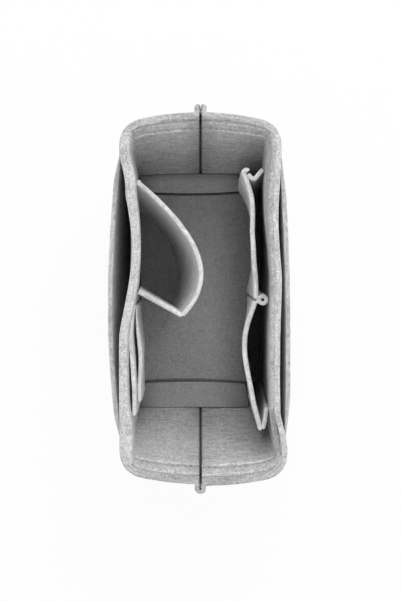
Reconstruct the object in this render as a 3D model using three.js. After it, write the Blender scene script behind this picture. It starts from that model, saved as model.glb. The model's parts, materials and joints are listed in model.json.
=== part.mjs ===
// Felt organizer insert for a handbag: an open box of sewn felt with outer slip pockets, a bottle
// pocket and two card pockets on the left wall, and a long pleated pocket on the right wall.
// Millimetres, +Z up. The origin is under the middle of the base. +Y is the back end, +X the right wall.

import * as THREE from 'three';

// Felt
const FELT = 3.5; // walls, linings, pockets and base
const CARD_FELT = 2.8; // thinner felt of the card pockets
const FACING_FELT = 1.6; // thin felt of the facing strips inside the rim
const SEAM = 0.4; // clearance between felt faces that are sewn together

// Box, measured outside
const BASE_LENGTH = 190;
const BASE_WIDTH = 118.6;
const HEIGHT = 150;
const END_LEAN = 36.7; // how far each end leans out between foot and rim
const SIDE_LEAN = 2; // how far each side leans out between foot and rim
const CORNER_FOOT = 6; // size of the rounded corners at the foot and at the rim
const CORNER_RIM = 15;
const CROWN_FOOT = 1.5; // how far the middle of an end stands out past its corners
const CROWN_RIM = 4.3;

// Waves of the long walls at the rim: depth, place along Y and half length
const LEFT_WAIST_DEPTH = -9;
const LEFT_WAIST_Y = 36;
const LEFT_WAIST_SPAN = 62;
const LEFT_BELLY_DEPTH = 1.5;
const LEFT_BELLY_Y = -62;
const LEFT_BELLY_SPAN = 40;
const RIGHT_WAIST_DEPTH = -1.8;
const RIGHT_WAIST_Y = 60;
const RIGHT_WAIST_SPAN = 45;
const RIGHT_FRONT_KICK = 4.2; // the right wall spreads towards its front corner
const KICK_SPAN = 34;

// Linings: how far they stand off the walls below the rim, and how far they follow the corners
const LINING_BOW = 0.5;
const LINING_BOW_BACK = 3.2; // towards the back end
const BOW_SPAN = 60; // length of lining over which that grows
const BOW_DROP = 30; // from the rim to where they stand off most
const LINING_TURN_FOOT = 0.1; // share of a corner, at the foot and at the rim
const LINING_TURN_RIM = 0.5;

// Pinched seam in the middle of each end
const PINCH_FOOT = 3.2; // how far the turned-out edges stand out
const PINCH_RIM = 7.05;
const PINCH_BEND = 2.4; // bend radius at the middle of the felt

// Base
const BOARD = 2; // stiffening board between the two felts of the floor
const BOARD_INSET = 4; // from the walls to the board
const FLOOR_FIT = 0.6; // clearance round the floor felt
const BACK_FLAP = 13; // lengths of the two flaps that lie over the ends of the floor
const FRONT_FLAP = 18;
const FLAP_FIT = 1; // clearance from a flap to the walls
const BACK_FLAP_CLEARANCE = 3; // from a flap to the pleated pocket
const FRONT_FLAP_CLEARANCE = 4.5;
const FLAP_CORNER = 2;

// Facing strips along the rim of the ends
const FACING_WIDTH = 24;
const FACING_GAP = 0.8; // between the two strips of an end
const FACING_TURN = 0.44; // share of a corner that a strip follows, up to the lining

// Outer slip pockets
const OUTER_TOP = 125;
const OUTER_STAND = 6.4; // how far the pockets' mouths stand out past the sides of the base
const OUTER_FOOT_BELLY = 0.2; // bulge of the panels at their foot

// Bottle pocket on the left wall
const BOTTLE_TOP = 132;
const BOTTLE_SEAM_FOOT = 22.4; // from the wall's back corner to the back seam, at the foot and at the mouth
const BOTTLE_SEAM_TOP = 23;
const BOTTLE_TAB = 6; // strip of felt sewn flat against the wall behind the seam
const BOTTLE_CORNER_Y = -12.5; // folded front corner
const BOTTLE_CORNER_FOOT = 27; // distance of the corner from the wall, at the foot and at the mouth
const BOTTLE_CORNER_TOP = 33.5;
const BOTTLE_LEAVE_ANGLE = 40; // degrees between the wall's normal and the panel at the back seam
const BOTTLE_LEAVE_FOOT = 50; // how strongly the panel swings out at the seam
const BOTTLE_LEAVE_TOP = 62;
const BOTTLE_RETURN_FOOT = 24; // how strongly it swings back to the corner
const BOTTLE_RETURN_TOP = 33;
const BOTTLE_RETURN_ANGLE_FOOT = 74; // degrees between the wall's normal and the panel at the corner
const BOTTLE_RETURN_ANGLE_TOP = 45;
const GUSSET_WALL_Y = 4.5; // where the gusset meets the wall
const GUSSET_END_GAP = 2.8; // from the folded corner to the gusset's end

// Card pockets on the left wall
const CARD_FOOT = 45;
const CARD_REAR_TOP = 138;
const CARD_FRONT_TOP = 128;
const CARD_BACK_Y = -5;
const CARD_REAR_FRONT_Y = -84;
const CARD_FRONT_FRONT_Y = -75;
const CARD_REAR_BULGE = 1.2; // mouth openings
const CARD_FRONT_BULGE = 2;

// Pleated pocket on the right wall
const PLEAT_TOP = 128;
const PLEAT_Y = -1.5; // the loop that divides the pocket
const LOOP_RADIUS = 4.1;
const LOOP_BORE = 1.4;
const NECK_HALF = 1.8; // half width of the loop's neck
const NECK_LENGTH = 5.7; // from the loop's middle to the panels
const BACK_INSET_FOOT = 5.2; // from the wall's corner to the end of a panel, at the foot and at the mouth
const BACK_INSET_TOP = 13.5;
const FRONT_INSET_FOOT = 2.4;
const FRONT_INSET_TOP = 8.5;
const BACK_SPREAD = 5.6; // how far the back panel swings out at its end
const FRONT_BELLY_FOOT = 4; // bulge of the front panel
const FRONT_BELLY_TOP = 8;
const CURL_RADIUS = 2.2; // rolled end of the back panel
const CURL_TURN = 140; // degrees
const CREASE_Y = -6.4; // pleat of the back gusset, from the end of the back panel
const CREASE_DEPTH = 7.4; // from the lining to the pleat's crease
const PLEAT_LEG_Y = -4; // its end beside the panel
const PLEAT_LEG_DEPTH = 10.3;
const PLEAT_WALL_Y = 0.7; // its end at the wall
const FRONT_GUSSET_START = 4; // front gusset, from the end of the front panel
const FRONT_GUSSET_END = 13.5;

// Clearances
const FOOT_LIFT = 0.5; // pockets hang this far above the floor
const GRAZE = 1.6; // from a slanting strip's middle to its far corner at the wall

// Smoothness: steps along each stretch of a panel
const CORNER_STEPS = 6;
const END_STEPS = 6;
const SIDE_STEPS = 26;
const BEND_STEPS = 3;
const POCKET_STEPS = 20;
const WALL_LEVELS = 3;
const TURN_STEPS = 4;

// Heights and widths worked out from the sizes above
const WALL_FOOT = FELT + SEAM;
const BOARD_BOTTOM = FELT + SEAM;
const FLOOR_BOTTOM = BOARD_BOTTOM + BOARD + SEAM;
const FLOOR_TOP = FLOOR_BOTTOM + FELT;
const POCKET_FOOT = FLOOR_TOP + FOOT_LIFT;
const LAYER = FELT + SEAM; // from the middle of one sewn felt to the middle of the next
const WALL_HALF = BASE_WIDTH / 2 - LAYER - FELT / 2; // middle of the wall's felt at its foot
const BOW_HEIGHT = HEIGHT - BOW_DROP;
const OUTER_REACH = BASE_WIDTH / 2 + OUTER_STAND; // half of the overall width
const SIDES = { left: -1, right: 1 };
const ENDS = { back: 1, front: -1 };

const { lerp, degToRad } = THREE.MathUtils;
const vec = (x, y) => new THREE.Vector2(x, y);
const rise = (z) => (z - WALL_FOOT) / (HEIGHT - WALL_FOOT);
const bump = (distance, span) => Math.max(Math.cos((Math.PI / 2) * Math.min(Math.abs(distance / span), 1)), 0) ** 1.25;
const kickOf = (side, end) => (side === 'right' && end === 'front' ? RIGHT_FRONT_KICK : 0);

// Middle of an end wall at its seam
const endReach = (z) => BASE_LENGTH / 2 - FELT / 2 + END_LEAN * rise(z);

// Where a corner leaves the end, turns and joins the side, in the quadrant of that corner
function cornerOf(side, end, z) {
  const size = lerp(CORNER_FOOT, CORNER_RIM, rise(z));
  const crown = lerp(CROWN_FOOT, CROWN_RIM, rise(z));
  const outX = WALL_HALF + rise(z) * (SIDE_LEAN + kickOf(side, end));
  const endX = outX - size;
  const endY = endReach(z) - crown;
  const turnY = endY - ((2 * crown) / endX) * size;
  return { crown, outX, endX, endY, turnY, sideY: turnY - size };
}

// Distance from the middle plane to the middle of a long wall's felt
function wallX(side, y, z) {
  let wave = SIDE_LEAN;
  if (side === 'left') {
    wave += LEFT_WAIST_DEPTH * bump(y - LEFT_WAIST_Y, LEFT_WAIST_SPAN);
    wave += LEFT_BELLY_DEPTH * bump(y - LEFT_BELLY_Y, LEFT_BELLY_SPAN);
  } else {
    wave += RIGHT_WAIST_DEPTH * bump(y - RIGHT_WAIST_Y, RIGHT_WAIST_SPAN);
    wave += kickOf('right', 'front') * bump(y + cornerOf('right', 'front', z).sideY, KICK_SPAN);
  }
  return WALL_HALF + wave * rise(z);
}

// From a wall's middle to its lining's middle
function liningDepth(y, z) {
  const height = z < BOW_HEIGHT ? (z - WALL_FOOT) / (BOW_HEIGHT - WALL_FOOT) : (HEIGHT - z) / (HEIGHT - BOW_HEIGHT);
  return LAYER + height * lerp(LINING_BOW, LINING_BOW_BACK, bump(y - BASE_LENGTH / 2, BOW_SPAN));
}

// Inner face of a lining, which the pockets are sewn to
const liningFace = (side, y, z) => wallX(side, y, z) - liningDepth(y, z) - FELT / 2;

// Points along a panel's middle line

function spread(from, to, steps, place) {
  return Array.from({ length: steps + 1 }, (_, i) => place(lerp(from, to, i / steps)));
}

function pinchLine(z) {
  const x = (FELT + SEAM) / 2;
  const y = endReach(z);
  const bend = new THREE.EllipseCurve(x + PINCH_BEND, y + PINCH_BEND, PINCH_BEND, PINCH_BEND, Math.PI, 1.5 * Math.PI);
  return [vec(x, y + lerp(PINCH_FOOT, PINCH_RIM, rise(z))), ...bend.getPoints(BEND_STEPS)];
}

function endLine(side, end, z, fromX) {
  const { crown, endX } = cornerOf(side, end, z);
  return spread(fromX, endX, END_STEPS, (x) => vec(x, endReach(z) - crown * (x / endX) ** 2));
}

function cornerCurve(side, end, z) {
  const { outX, endX, endY, turnY, sideY } = cornerOf(side, end, z);
  return new THREE.QuadraticBezierCurve(vec(endX, endY), vec(outX, turnY), vec(outX, sideY));
}

const cornerLine = (side, end, z) => cornerCurve(side, end, z).getPoints(CORNER_STEPS);

function sideLine(side, z, depthAt = () => 0) {
  const backY = cornerOf(side, 'back', z).sideY;
  const frontY = -cornerOf(side, 'front', z).sideY;
  return spread(backY, frontY, SIDE_STEPS, (y) => vec(wallX(side, y, z) - depthAt(y), y));
}

// The lining of a long wall, with its ends turned into the corners
function liningLine(side, z) {
  const turn = (end) => {
    const curve = cornerCurve(side, end, z);
    const from = 1 - lerp(LINING_TURN_FOOT, LINING_TURN_RIM, rise(z));
    return spread(from, 1, TURN_STEPS, (t) => {
      const along = curve.getTangent(t);
      const inward = vec(along.y, -along.x);
      return curve.getPoint(t).addScaledVector(inward, liningDepth(cornerOf(side, end, z).sideY * ENDS[end], z));
    });
  };
  const back = turn('back');
  const front = mirrored(turn('front'), 1, -1).reverse();
  const line = [...back, ...sideLine(side, z, (y) => liningDepth(y, z)).slice(1, -1), ...front];
  return mirrored(line, SIDES[side], 1);
}

const mirrored = (points, signX, signY) => points.map((p) => vec(p.x * signX, p.y * signY));

// One half of the wall band: back pinch, back end, side, front end and front pinch
function bandLine(side, z) {
  const half = (end) => [
    ...pinchLine(z),
    ...endLine(side, end, z, (FELT + SEAM) / 2 + PINCH_BEND).slice(1),
    ...cornerLine(side, end, z).slice(1),
  ];
  const back = half('back');
  const front = mirrored(half('front'), 1, -1).reverse();
  const line = [...back, ...sideLine(side, z).slice(1, -1), ...front];
  return mirrored(line, SIDES[side], 1);
}

// Facing strip of one half of an end, on the inside of the wall
function facingLine(side, end, z) {
  const start = (FACING_GAP + FACING_FELT) / 2;
  const curve = cornerCurve(side, end, z);
  const corner = spread(0, FACING_TURN, TURN_STEPS, (t) => curve.getPoint(t));
  const line = [...endLine(side, end, z, start), ...corner.slice(1)];
  const inside = offsetLine(line, -(FELT / 2 + SEAM + FACING_FELT / 2));
  return mirrored(inside, SIDES[side], ENDS[end]);
}

// Unit normals of a line, lengthened at its bends so that a strip keeps its thickness
function lineNormals(points) {
  return points.map((p, i) => {
    const before = p.clone().sub(points[Math.max(i - 1, 0)]);
    const after = points[Math.min(i + 1, points.length - 1)].clone().sub(p);
    const first = i === 0 ? after : before;
    const last = i === points.length - 1 ? before : after;
    const normals = [first, last].map((d) => vec(-d.y, d.x).normalize());
    const middle = normals[0].clone().add(normals[1]).normalize();
    return middle.divideScalar(middle.dot(normals[0]));
  });
}

function offsetLine(points, distance) {
  const normals = lineNormals(points);
  return points.map((p, i) => p.clone().addScaledVector(normals[i], distance));
}

// Solids

function solidFrom(positions, triangles) {
  let volume = 0;
  for (const [a, b, c] of triangles) {
    volume += positions[a].dot(new THREE.Vector3().crossVectors(positions[b], positions[c]));
  }
  const outward = volume < 0 ? triangles.map(([a, b, c]) => [a, c, b]) : triangles;
  const geometry = new THREE.BufferGeometry().setFromPoints(positions);
  geometry.setIndex(outward.flat());
  geometry.computeVertexNormals();
  return geometry;
}

// A felt panel that stands on a line in plan; lineAt gives the middle of the felt at each height
function standingPanel(lineAt, heights, thickness = FELT) {
  const levels = heights.length - 1;
  const rows = heights.map((z) => {
    const line = lineAt(z);
    const faces = [offsetLine(line, -thickness / 2), offsetLine(line, thickness / 2)];
    return faces.map((face) => face.map((p) => new THREE.Vector3(p.x, p.y, z)));
  });
  const count = rows[0][0].length;
  const positions = rows.flat(2);
  const at = (row, face, i) => (row * 2 + face) * count + i;
  const triangles = [];
  const quad = (a, b, c, d) => triangles.push([a, b, c], [a, c, d]);
  for (let row = 0; row < levels; row++) {
    for (let i = 0; i < count - 1; i++) {
      quad(at(row, 0, i), at(row, 0, i + 1), at(row + 1, 0, i + 1), at(row + 1, 0, i));
      quad(at(row, 1, i + 1), at(row, 1, i), at(row + 1, 1, i), at(row + 1, 1, i + 1));
    }
    quad(at(row, 1, 0), at(row, 0, 0), at(row + 1, 0, 0), at(row + 1, 1, 0));
    const last = count - 1;
    quad(at(row, 0, last), at(row, 1, last), at(row + 1, 1, last), at(row + 1, 0, last));
  }
  for (let i = 0; i < count - 1; i++) {
    quad(at(0, 1, i), at(0, 1, i + 1), at(0, 0, i + 1), at(0, 0, i));
    quad(at(levels, 0, i), at(levels, 0, i + 1), at(levels, 1, i + 1), at(levels, 1, i));
  }
  return solidFrom(positions, triangles);
}

// Heights of a panel's rows: evenly spaced for the walls, and with the linings' bow for what is sewn to them
const evenHeights = (foot, top, levels = WALL_LEVELS) => spread(foot, top, levels, (z) => z);
const bowedHeights = (foot, top) =>
  BOW_HEIGHT < top ? [foot, (foot + BOW_HEIGHT) / 2, BOW_HEIGHT, top] : evenHeights(foot, top);

// A flat piece of the given outline, from bottom up
function flatPiece(shape, bottom, thickness, steps = 1) {
  const geometry = new THREE.ExtrudeGeometry(shape, {
    depth: thickness,
    steps,
    bevelEnabled: false,
    curveSegments: CORNER_STEPS,
  });
  return geometry.translate(0, 0, bottom);
}

function roundedRectangle(lowX, lowY, highX, highY, radius) {
  const shape = new THREE.Shape();
  shape.moveTo(lowX + radius, lowY);
  shape.lineTo(highX - radius, lowY);
  shape.absarc(highX - radius, lowY + radius, radius, -Math.PI / 2, 0);
  shape.lineTo(highX, highY - radius);
  shape.absarc(highX - radius, highY - radius, radius, 0, Math.PI / 2);
  shape.lineTo(lowX + radius, highY);
  shape.absarc(lowX + radius, highY - radius, radius, Math.PI / 2, Math.PI);
  shape.lineTo(lowX, lowY + radius);
  shape.absarc(lowX + radius, lowY + radius, radius, Math.PI, 1.5 * Math.PI);
  return shape;
}

// Materials

const felt = (color) => new THREE.MeshStandardMaterial({ color, roughness: 0.95, metalness: 0 });
const WALL_FELT = felt(0xb9b9b9);
const POCKET_FELT = felt(0xc4c4c4);
const BASE_FELT = felt(0xa9a9a9);
const BOARD_PLASTIC = new THREE.MeshStandardMaterial({ color: 0x4a4a4c, roughness: 0.6, metalness: 0 });

const insert = new THREE.Group();

function addPiece(name, geometry, material) {
  const mesh = new THREE.Mesh(geometry, material);
  mesh.name = name;
  insert.add(mesh);
}

// Base: outer felt, stiffening board and floor felt

const wallInside = { x: WALL_HALF - LAYER - FELT / 2, y: BASE_LENGTH / 2 - FELT - CROWN_FOOT };

function floorOutline(inset) {
  const x = wallInside.x - inset;
  const y = wallInside.y - inset;
  return roundedRectangle(-x, -y, x, y, CORNER_FOOT);
}

addPiece(
  'base_panel',
  flatPiece(
    roundedRectangle(-BASE_WIDTH / 2, -BASE_LENGTH / 2, BASE_WIDTH / 2, BASE_LENGTH / 2, CORNER_FOOT),
    0,
    FELT,
  ),
  BASE_FELT,
);
addPiece('base_board', flatPiece(floorOutline(BOARD_INSET), BOARD_BOTTOM, BOARD), BOARD_PLASTIC);
addPiece('floor_lining', flatPiece(floorOutline(FLOOR_FIT), FLOOR_BOTTOM, FELT), BASE_FELT);

// Walls, linings and rim facings

for (const side of Object.keys(SIDES)) {
  const wallHeights = evenHeights(WALL_FOOT, HEIGHT);
  addPiece(`${side}_wall`, standingPanel((z) => bandLine(side, z), wallHeights), WALL_FELT);
  const liningHeights = bowedHeights(WALL_FOOT, HEIGHT);
  addPiece(`${side}_lining`, standingPanel((z) => liningLine(side, z), liningHeights), WALL_FELT);
  for (const end of Object.keys(ENDS)) {
    const stripHeights = evenHeights(HEIGHT - FACING_WIDTH, HEIGHT, 1);
    const strip = standingPanel((z) => facingLine(side, end, z), stripHeights, FACING_FELT);
    addPiece(`${end}_${side}_facing`, strip, WALL_FELT);
  }
}

// Outer slip pockets: sewn to the wall along their ends and foot, bowed out at the mouth

function outerLine(side, z) {
  const backY = cornerOf(side, 'back', z).sideY;
  const frontY = -cornerOf(side, 'front', z).sideY;
  const seat = (y, height) => wallX(side, y, height) + LAYER;
  const straightX = (t, height) => lerp(seat(backY, height), seat(frontY, height), t);
  const room = OUTER_REACH - FELT / 2 - straightX(0.5, OUTER_TOP);
  const slant = straightX(1, OUTER_TOP) - straightX(0, OUTER_TOP);
  const topBelly = (room + Math.sqrt(Math.max(room ** 2 - slant ** 2 / 4, 0))) / 2;
  const belly = lerp(OUTER_FOOT_BELLY, topBelly, (z - WALL_FOOT) / (OUTER_TOP - WALL_FOOT));
  const line = spread(0, 1, POCKET_STEPS, (t) => vec(straightX(t, z) + belly * 4 * t * (1 - t), lerp(backY, frontY, t)));
  return mirrored(line, SIDES[side], 1);
}

for (const side of Object.keys(SIDES)) {
  const heights = evenHeights(WALL_FOOT, OUTER_TOP);
  addPiece(`${side}_outer_pocket`, standingPanel((z) => outerLine(side, z), heights), POCKET_FELT);
}

// Bottle pocket: a sewn tab, a curved panel that swings out from the wall, and a straight gusset

const bottleRise = (z) => (z - POCKET_FOOT) / (BOTTLE_TOP - POCKET_FOOT);

function bottleSeam(z) {
  const y = cornerOf('left', 'back', z).sideY - lerp(BOTTLE_SEAM_FOOT, BOTTLE_SEAM_TOP, bottleRise(z));
  return vec(-(liningFace('left', y, z) - SEAM - FELT / 2), y);
}

function bottleCorner(z) {
  const away = lerp(BOTTLE_CORNER_FOOT, BOTTLE_CORNER_TOP, bottleRise(z));
  return vec(away - liningFace('left', BOTTLE_CORNER_Y, z), BOTTLE_CORNER_Y);
}

function bottleLine(z) {
  const t = bottleRise(z);
  const leave = degToRad(BOTTLE_LEAVE_ANGLE);
  const back = degToRad(lerp(BOTTLE_RETURN_ANGLE_FOOT, BOTTLE_RETURN_ANGLE_TOP, t));
  const leaveBy = lerp(BOTTLE_LEAVE_FOOT, BOTTLE_LEAVE_TOP, t);
  const returnBy = lerp(BOTTLE_RETURN_FOOT, BOTTLE_RETURN_TOP, t);
  const start = bottleSeam(z).add(vec(GRAZE, 0));
  const corner = bottleCorner(z);
  const leaveTo = start.clone().add(vec(leaveBy * Math.cos(leave), -leaveBy * Math.sin(leave)));
  const returnFrom = corner.clone().add(vec(returnBy * Math.cos(back), returnBy * Math.sin(back)));
  return new THREE.CubicBezierCurve(start, leaveTo, returnFrom, corner).getPoints(POCKET_STEPS);
}

function bottleTabLine(z) {
  const seam = bottleSeam(z);
  const wallAt = (y) => vec(-(liningFace('left', y, z) - SEAM - FELT / 2), y);
  return spread(seam.y + GRAZE + SEAM, seam.y + GRAZE + SEAM + BOTTLE_TAB, 2, wallAt);
}

function bottleGussetLine(z) {
  const wall = vec(-(liningFace('left', GUSSET_WALL_Y, z) - SEAM - GRAZE), GUSSET_WALL_Y);
  const corner = bottleCorner(z);
  const reach = corner.distanceTo(wall) - GUSSET_END_GAP;
  return [wall, wall.clone().add(corner.sub(wall).setLength(reach))];
}

const bottleHeights = bowedHeights(POCKET_FOOT, BOTTLE_TOP);
addPiece('bottle_pocket_tab', standingPanel(bottleTabLine, bottleHeights), POCKET_FELT);
addPiece('bottle_pocket_panel', standingPanel(bottleLine, bottleHeights), POCKET_FELT);
addPiece('bottle_pocket_gusset', standingPanel(bottleGussetLine, bottleHeights), POCKET_FELT);

// Card pockets: two thin panels, one sewn over the other

// Distance of a card panel from the felt behind it: sewn flat at its ends and foot, open at the mouth
function cardStand(y, z, depth, bulge, frontY, top) {
  const middle = (CARD_BACK_Y + frontY) / 2;
  const openness = (z - CARD_FOOT) / (top - CARD_FOOT);
  return depth + bulge * openness * bump(y - middle, (CARD_BACK_Y - frontY) / 2);
}

function cardRearX(y, z) {
  const depth = SEAM + CARD_FELT / 2;
  return cardStand(y, z, depth, CARD_REAR_BULGE, CARD_REAR_FRONT_Y, CARD_REAR_TOP) - liningFace('left', y, z);
}

function cardRearLine(z) {
  return spread(CARD_BACK_Y, CARD_REAR_FRONT_Y, POCKET_STEPS / 2, (y) => vec(cardRearX(y, z), y));
}

function cardFrontLine(z) {
  const depth = SEAM + CARD_FELT;
  const stand = (y) => cardStand(y, z, depth, CARD_FRONT_BULGE, CARD_FRONT_FRONT_Y, CARD_FRONT_TOP);
  return spread(CARD_BACK_Y, CARD_FRONT_FRONT_Y, POCKET_STEPS / 2, (y) => vec(cardRearX(y, z) + stand(y), y));
}

const cardRearHeights = bowedHeights(CARD_FOOT, CARD_REAR_TOP);
const cardFrontHeights = bowedHeights(CARD_FOOT, CARD_FRONT_TOP);
addPiece('card_pocket_rear', standingPanel(cardRearLine, cardRearHeights, CARD_FELT), POCKET_FELT);
addPiece('card_pocket_front', standingPanel(cardFrontLine, cardFrontHeights, CARD_FELT), POCKET_FELT);

// Pleated pocket: a loop sewn to the wall, a panel on each side of it and a pleat at each far end

const pleatRise = (z) => (z - POCKET_FOOT) / (PLEAT_TOP - POCKET_FOOT);
const pleatFace = (y, z) => liningFace('right', y, z);
const loopX = (z) => pleatFace(PLEAT_Y, z) - SEAM - LOOP_RADIUS;
const neckX = (z) => loopX(z) - NECK_LENGTH;
const backInset = (z) => lerp(BACK_INSET_FOOT, BACK_INSET_TOP, pleatRise(z));
const frontInset = (z) => lerp(FRONT_INSET_FOOT, FRONT_INSET_TOP, pleatRise(z));
const backPanelEnd = (z) => cornerOf('right', 'back', z).sideY - backInset(z);
const frontPanelEnd = (z) => frontInset(z) - cornerOf('right', 'front', z).sideY;
const neckDepth = SEAM + LOOP_RADIUS + NECK_LENGTH;

function loopShape() {
  const shape = new THREE.Shape();
  const neckAngle = Math.asin(NECK_HALF / LOOP_RADIUS);
  shape.moveTo(-NECK_LENGTH, NECK_HALF);
  shape.lineTo(-NECK_LENGTH, -NECK_HALF);
  shape.absarc(0, 0, LOOP_RADIUS, Math.PI + neckAngle, 3 * Math.PI - neckAngle);
  const bore = new THREE.Path();
  bore.absarc(0, 0, LOOP_BORE, 0, 2 * Math.PI, true);
  shape.holes.push(bore);
  return shape;
}

// The loop leans with the wall that it is sewn to
function loopSolid() {
  const geometry = flatPiece(loopShape(), POCKET_FOOT, PLEAT_TOP - POCKET_FOOT, WALL_LEVELS);
  const position = geometry.getAttribute('position');
  for (let i = 0; i < position.count; i++) {
    position.setX(i, position.getX(i) + loopX(position.getZ(i)));
    position.setY(i, position.getY(i) + PLEAT_Y);
  }
  return geometry;
}

// The panel's far end rolls over towards the wall
function curlFrom(line) {
  const end = line[line.length - 1];
  const ahead = end.clone().sub(line[line.length - 2]).normalize();
  const right = vec(ahead.y, -ahead.x);
  return spread(0, degToRad(CURL_TURN), CORNER_STEPS, (turn) =>
    end
      .clone()
      .addScaledVector(ahead, CURL_RADIUS * Math.sin(turn))
      .addScaledVector(right, CURL_RADIUS * (1 - Math.cos(turn))),
  );
}

function backPanelLine(z) {
  const from = PLEAT_Y + NECK_HALF + SEAM;
  const to = backPanelEnd(z) - CURL_RADIUS;
  const line = spread(0, 1, POCKET_STEPS, (t) => {
    const y = lerp(from, to, t);
    return vec(pleatFace(y, z) - neckDepth - BACK_SPREAD * t ** 4, y);
  });
  return [...line, ...curlFrom(line).slice(1)];
}

const frontBelly = (t, z) => lerp(FRONT_BELLY_FOOT, FRONT_BELLY_TOP, pleatRise(z)) * Math.sin(Math.PI * t ** 0.6);

function frontPanelLine(z) {
  const from = PLEAT_Y - NECK_HALF - SEAM;
  return spread(0, 1, POCKET_STEPS, (t) => {
    const y = lerp(from, frontPanelEnd(z), t);
    return vec(pleatFace(y, z) - neckDepth - frontBelly(t, z), y);
  });
}

function backGussetLine(z) {
  const end = backPanelEnd(z);
  const stand = (along, depth) => vec(pleatFace(end + along, z) - depth, end + along);
  return [
    stand(PLEAT_LEG_Y, PLEAT_LEG_DEPTH),
    stand(CREASE_Y, CREASE_DEPTH),
    stand(PLEAT_WALL_Y, SEAM + GRAZE),
  ];
}

function frontGussetLine(z) {
  const startY = frontPanelEnd(z) + FRONT_GUSSET_START;
  const endY = frontPanelEnd(z) + FRONT_GUSSET_END;
  const panelFace = pleatFace(startY, z) - neckDepth + FELT / 2;
  return [vec(panelFace + SEAM + FELT / 2, startY), vec(pleatFace(endY, z) - SEAM - FELT / 2, endY)];
}

// Flaps: felt strips over the ends of the floor that lift at the end walls, beside the pleated pocket

function flapShape(end, length, panelLine, clearance) {
  const hingeY = wallInside.y - FLOOR_FIT;
  const inner = ENDS[end] * (hingeY - length);
  const outer = ENDS[end] * hingeY;
  const beside = panelLine(POCKET_FOOT).filter((p) => p.y * ENDS[end] > hingeY - length - clearance);
  const highX = Math.min(...beside.map((p) => p.x)) - FELT / 2 - clearance;
  const lowX = FLAP_FIT - wallInside.x;
  return roundedRectangle(lowX, Math.min(inner, outer), highX, Math.max(inner, outer), FLAP_CORNER);
}

const FLAP_BOTTOM = FLOOR_TOP + SEAM;
const backFlap = flapShape('back', BACK_FLAP, backPanelLine, BACK_FLAP_CLEARANCE);
const frontFlap = flapShape('front', FRONT_FLAP, frontPanelLine, FRONT_FLAP_CLEARANCE);
addPiece('back_base_flap', flatPiece(backFlap, FLAP_BOTTOM, FELT), BASE_FELT);
addPiece('front_base_flap', flatPiece(frontFlap, FLAP_BOTTOM, FELT), BASE_FELT);

addPiece('pleat_loop', loopSolid(), POCKET_FELT);
const pleatHeights = bowedHeights(POCKET_FOOT, PLEAT_TOP);
addPiece('pleat_back_panel', standingPanel(backPanelLine, pleatHeights), POCKET_FELT);
addPiece('pleat_front_panel', standingPanel(frontPanelLine, pleatHeights), POCKET_FELT);
addPiece('pleat_back_gusset', standingPanel(backGussetLine, pleatHeights), POCKET_FELT);
addPiece('pleat_front_gusset', standingPanel(frontGussetLine, pleatHeights), POCKET_FELT);

export default insert;
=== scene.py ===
"""Sewn felt organizer insert for a handbag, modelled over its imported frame.

Metres, +Z up. +Y is the back end of the box, +X the wall with the pleated pocket.
"""

import bisect
import json
import math

import bmesh
import bpy
from bpy.props import FloatProperty, FloatVectorProperty, PointerProperty
from mathutils import Matrix, Vector, noise


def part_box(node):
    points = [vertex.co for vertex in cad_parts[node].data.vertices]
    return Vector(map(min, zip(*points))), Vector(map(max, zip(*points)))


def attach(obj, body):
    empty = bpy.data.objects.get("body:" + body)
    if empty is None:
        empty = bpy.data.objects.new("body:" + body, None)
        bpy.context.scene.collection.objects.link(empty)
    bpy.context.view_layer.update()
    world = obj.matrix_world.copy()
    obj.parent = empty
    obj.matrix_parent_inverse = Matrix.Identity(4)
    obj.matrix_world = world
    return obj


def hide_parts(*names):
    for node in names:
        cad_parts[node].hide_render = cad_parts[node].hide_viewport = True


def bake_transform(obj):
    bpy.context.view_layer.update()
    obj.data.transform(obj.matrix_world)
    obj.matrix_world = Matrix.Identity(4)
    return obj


bl_info = {
    "name": "Felt Bag Organizer",
    "version": (1, 0, 0),
    "blender": (4, 5, 0),
    "location": "View3D > Sidebar > Organizer",
    "description": "Felt walls, pockets, stitching and studio stage of a bag organizer insert",
    "category": "Add Mesh",
}

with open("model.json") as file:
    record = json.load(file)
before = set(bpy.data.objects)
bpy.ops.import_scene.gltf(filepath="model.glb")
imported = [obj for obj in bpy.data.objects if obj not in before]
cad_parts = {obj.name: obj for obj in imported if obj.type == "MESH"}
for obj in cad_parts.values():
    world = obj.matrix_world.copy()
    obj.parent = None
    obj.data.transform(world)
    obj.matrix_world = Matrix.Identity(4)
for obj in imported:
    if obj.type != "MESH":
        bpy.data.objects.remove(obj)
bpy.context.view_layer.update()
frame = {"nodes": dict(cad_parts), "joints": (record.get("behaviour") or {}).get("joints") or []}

MM = 0.001
SIDES = {"left": -1, "right": 1}
ENDS = {"back": 1, "front": -1}
FELT_UV = "felt"
COARSE_ROW = 5 * MM
FINE_ROW = 1.2 * MM
RIM_BAND = 8 * MM
SINK_BAND = 5 * RIM_BAND
MERGE = 0.002 * MM
SHARP = math.radians(55)

# Share of a panel's height at which its length is measured and the places of its bend are worked out
MIDDLE = 0.6

# Unevenness of felt, from slow waves to small ones: scale, share and shift of the noise
WANDER = ((22.0, 1.0, Vector((0, 0, 0))), (61.0, 0.4, Vector((7, 3, 1))), (170.0, 0.3, Vector((2, 9, 5))))
RIM_WANDER = 0.7

# A strip's normals grow at bends down to this cosine, and the rounding of its end stays within its first step
MITRE_LIMIT = 0.4
END_SHARE = 0.96
ROUND_CLEARANCE = 1.05


# Properties


def length(name, millimetres, text):
    return FloatProperty(name=name, description=text, default=millimetres * MM, unit="LENGTH", precision=5)


def lengths(name, millimetres, text):
    """Lengths that belong together, such as those at a pocket's foot and at its mouth"""
    return FloatVectorProperty(
        name=name, description=text, default=[value * MM for value in millimetres], size=len(millimetres),
        unit="LENGTH", precision=5,
    )


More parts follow.
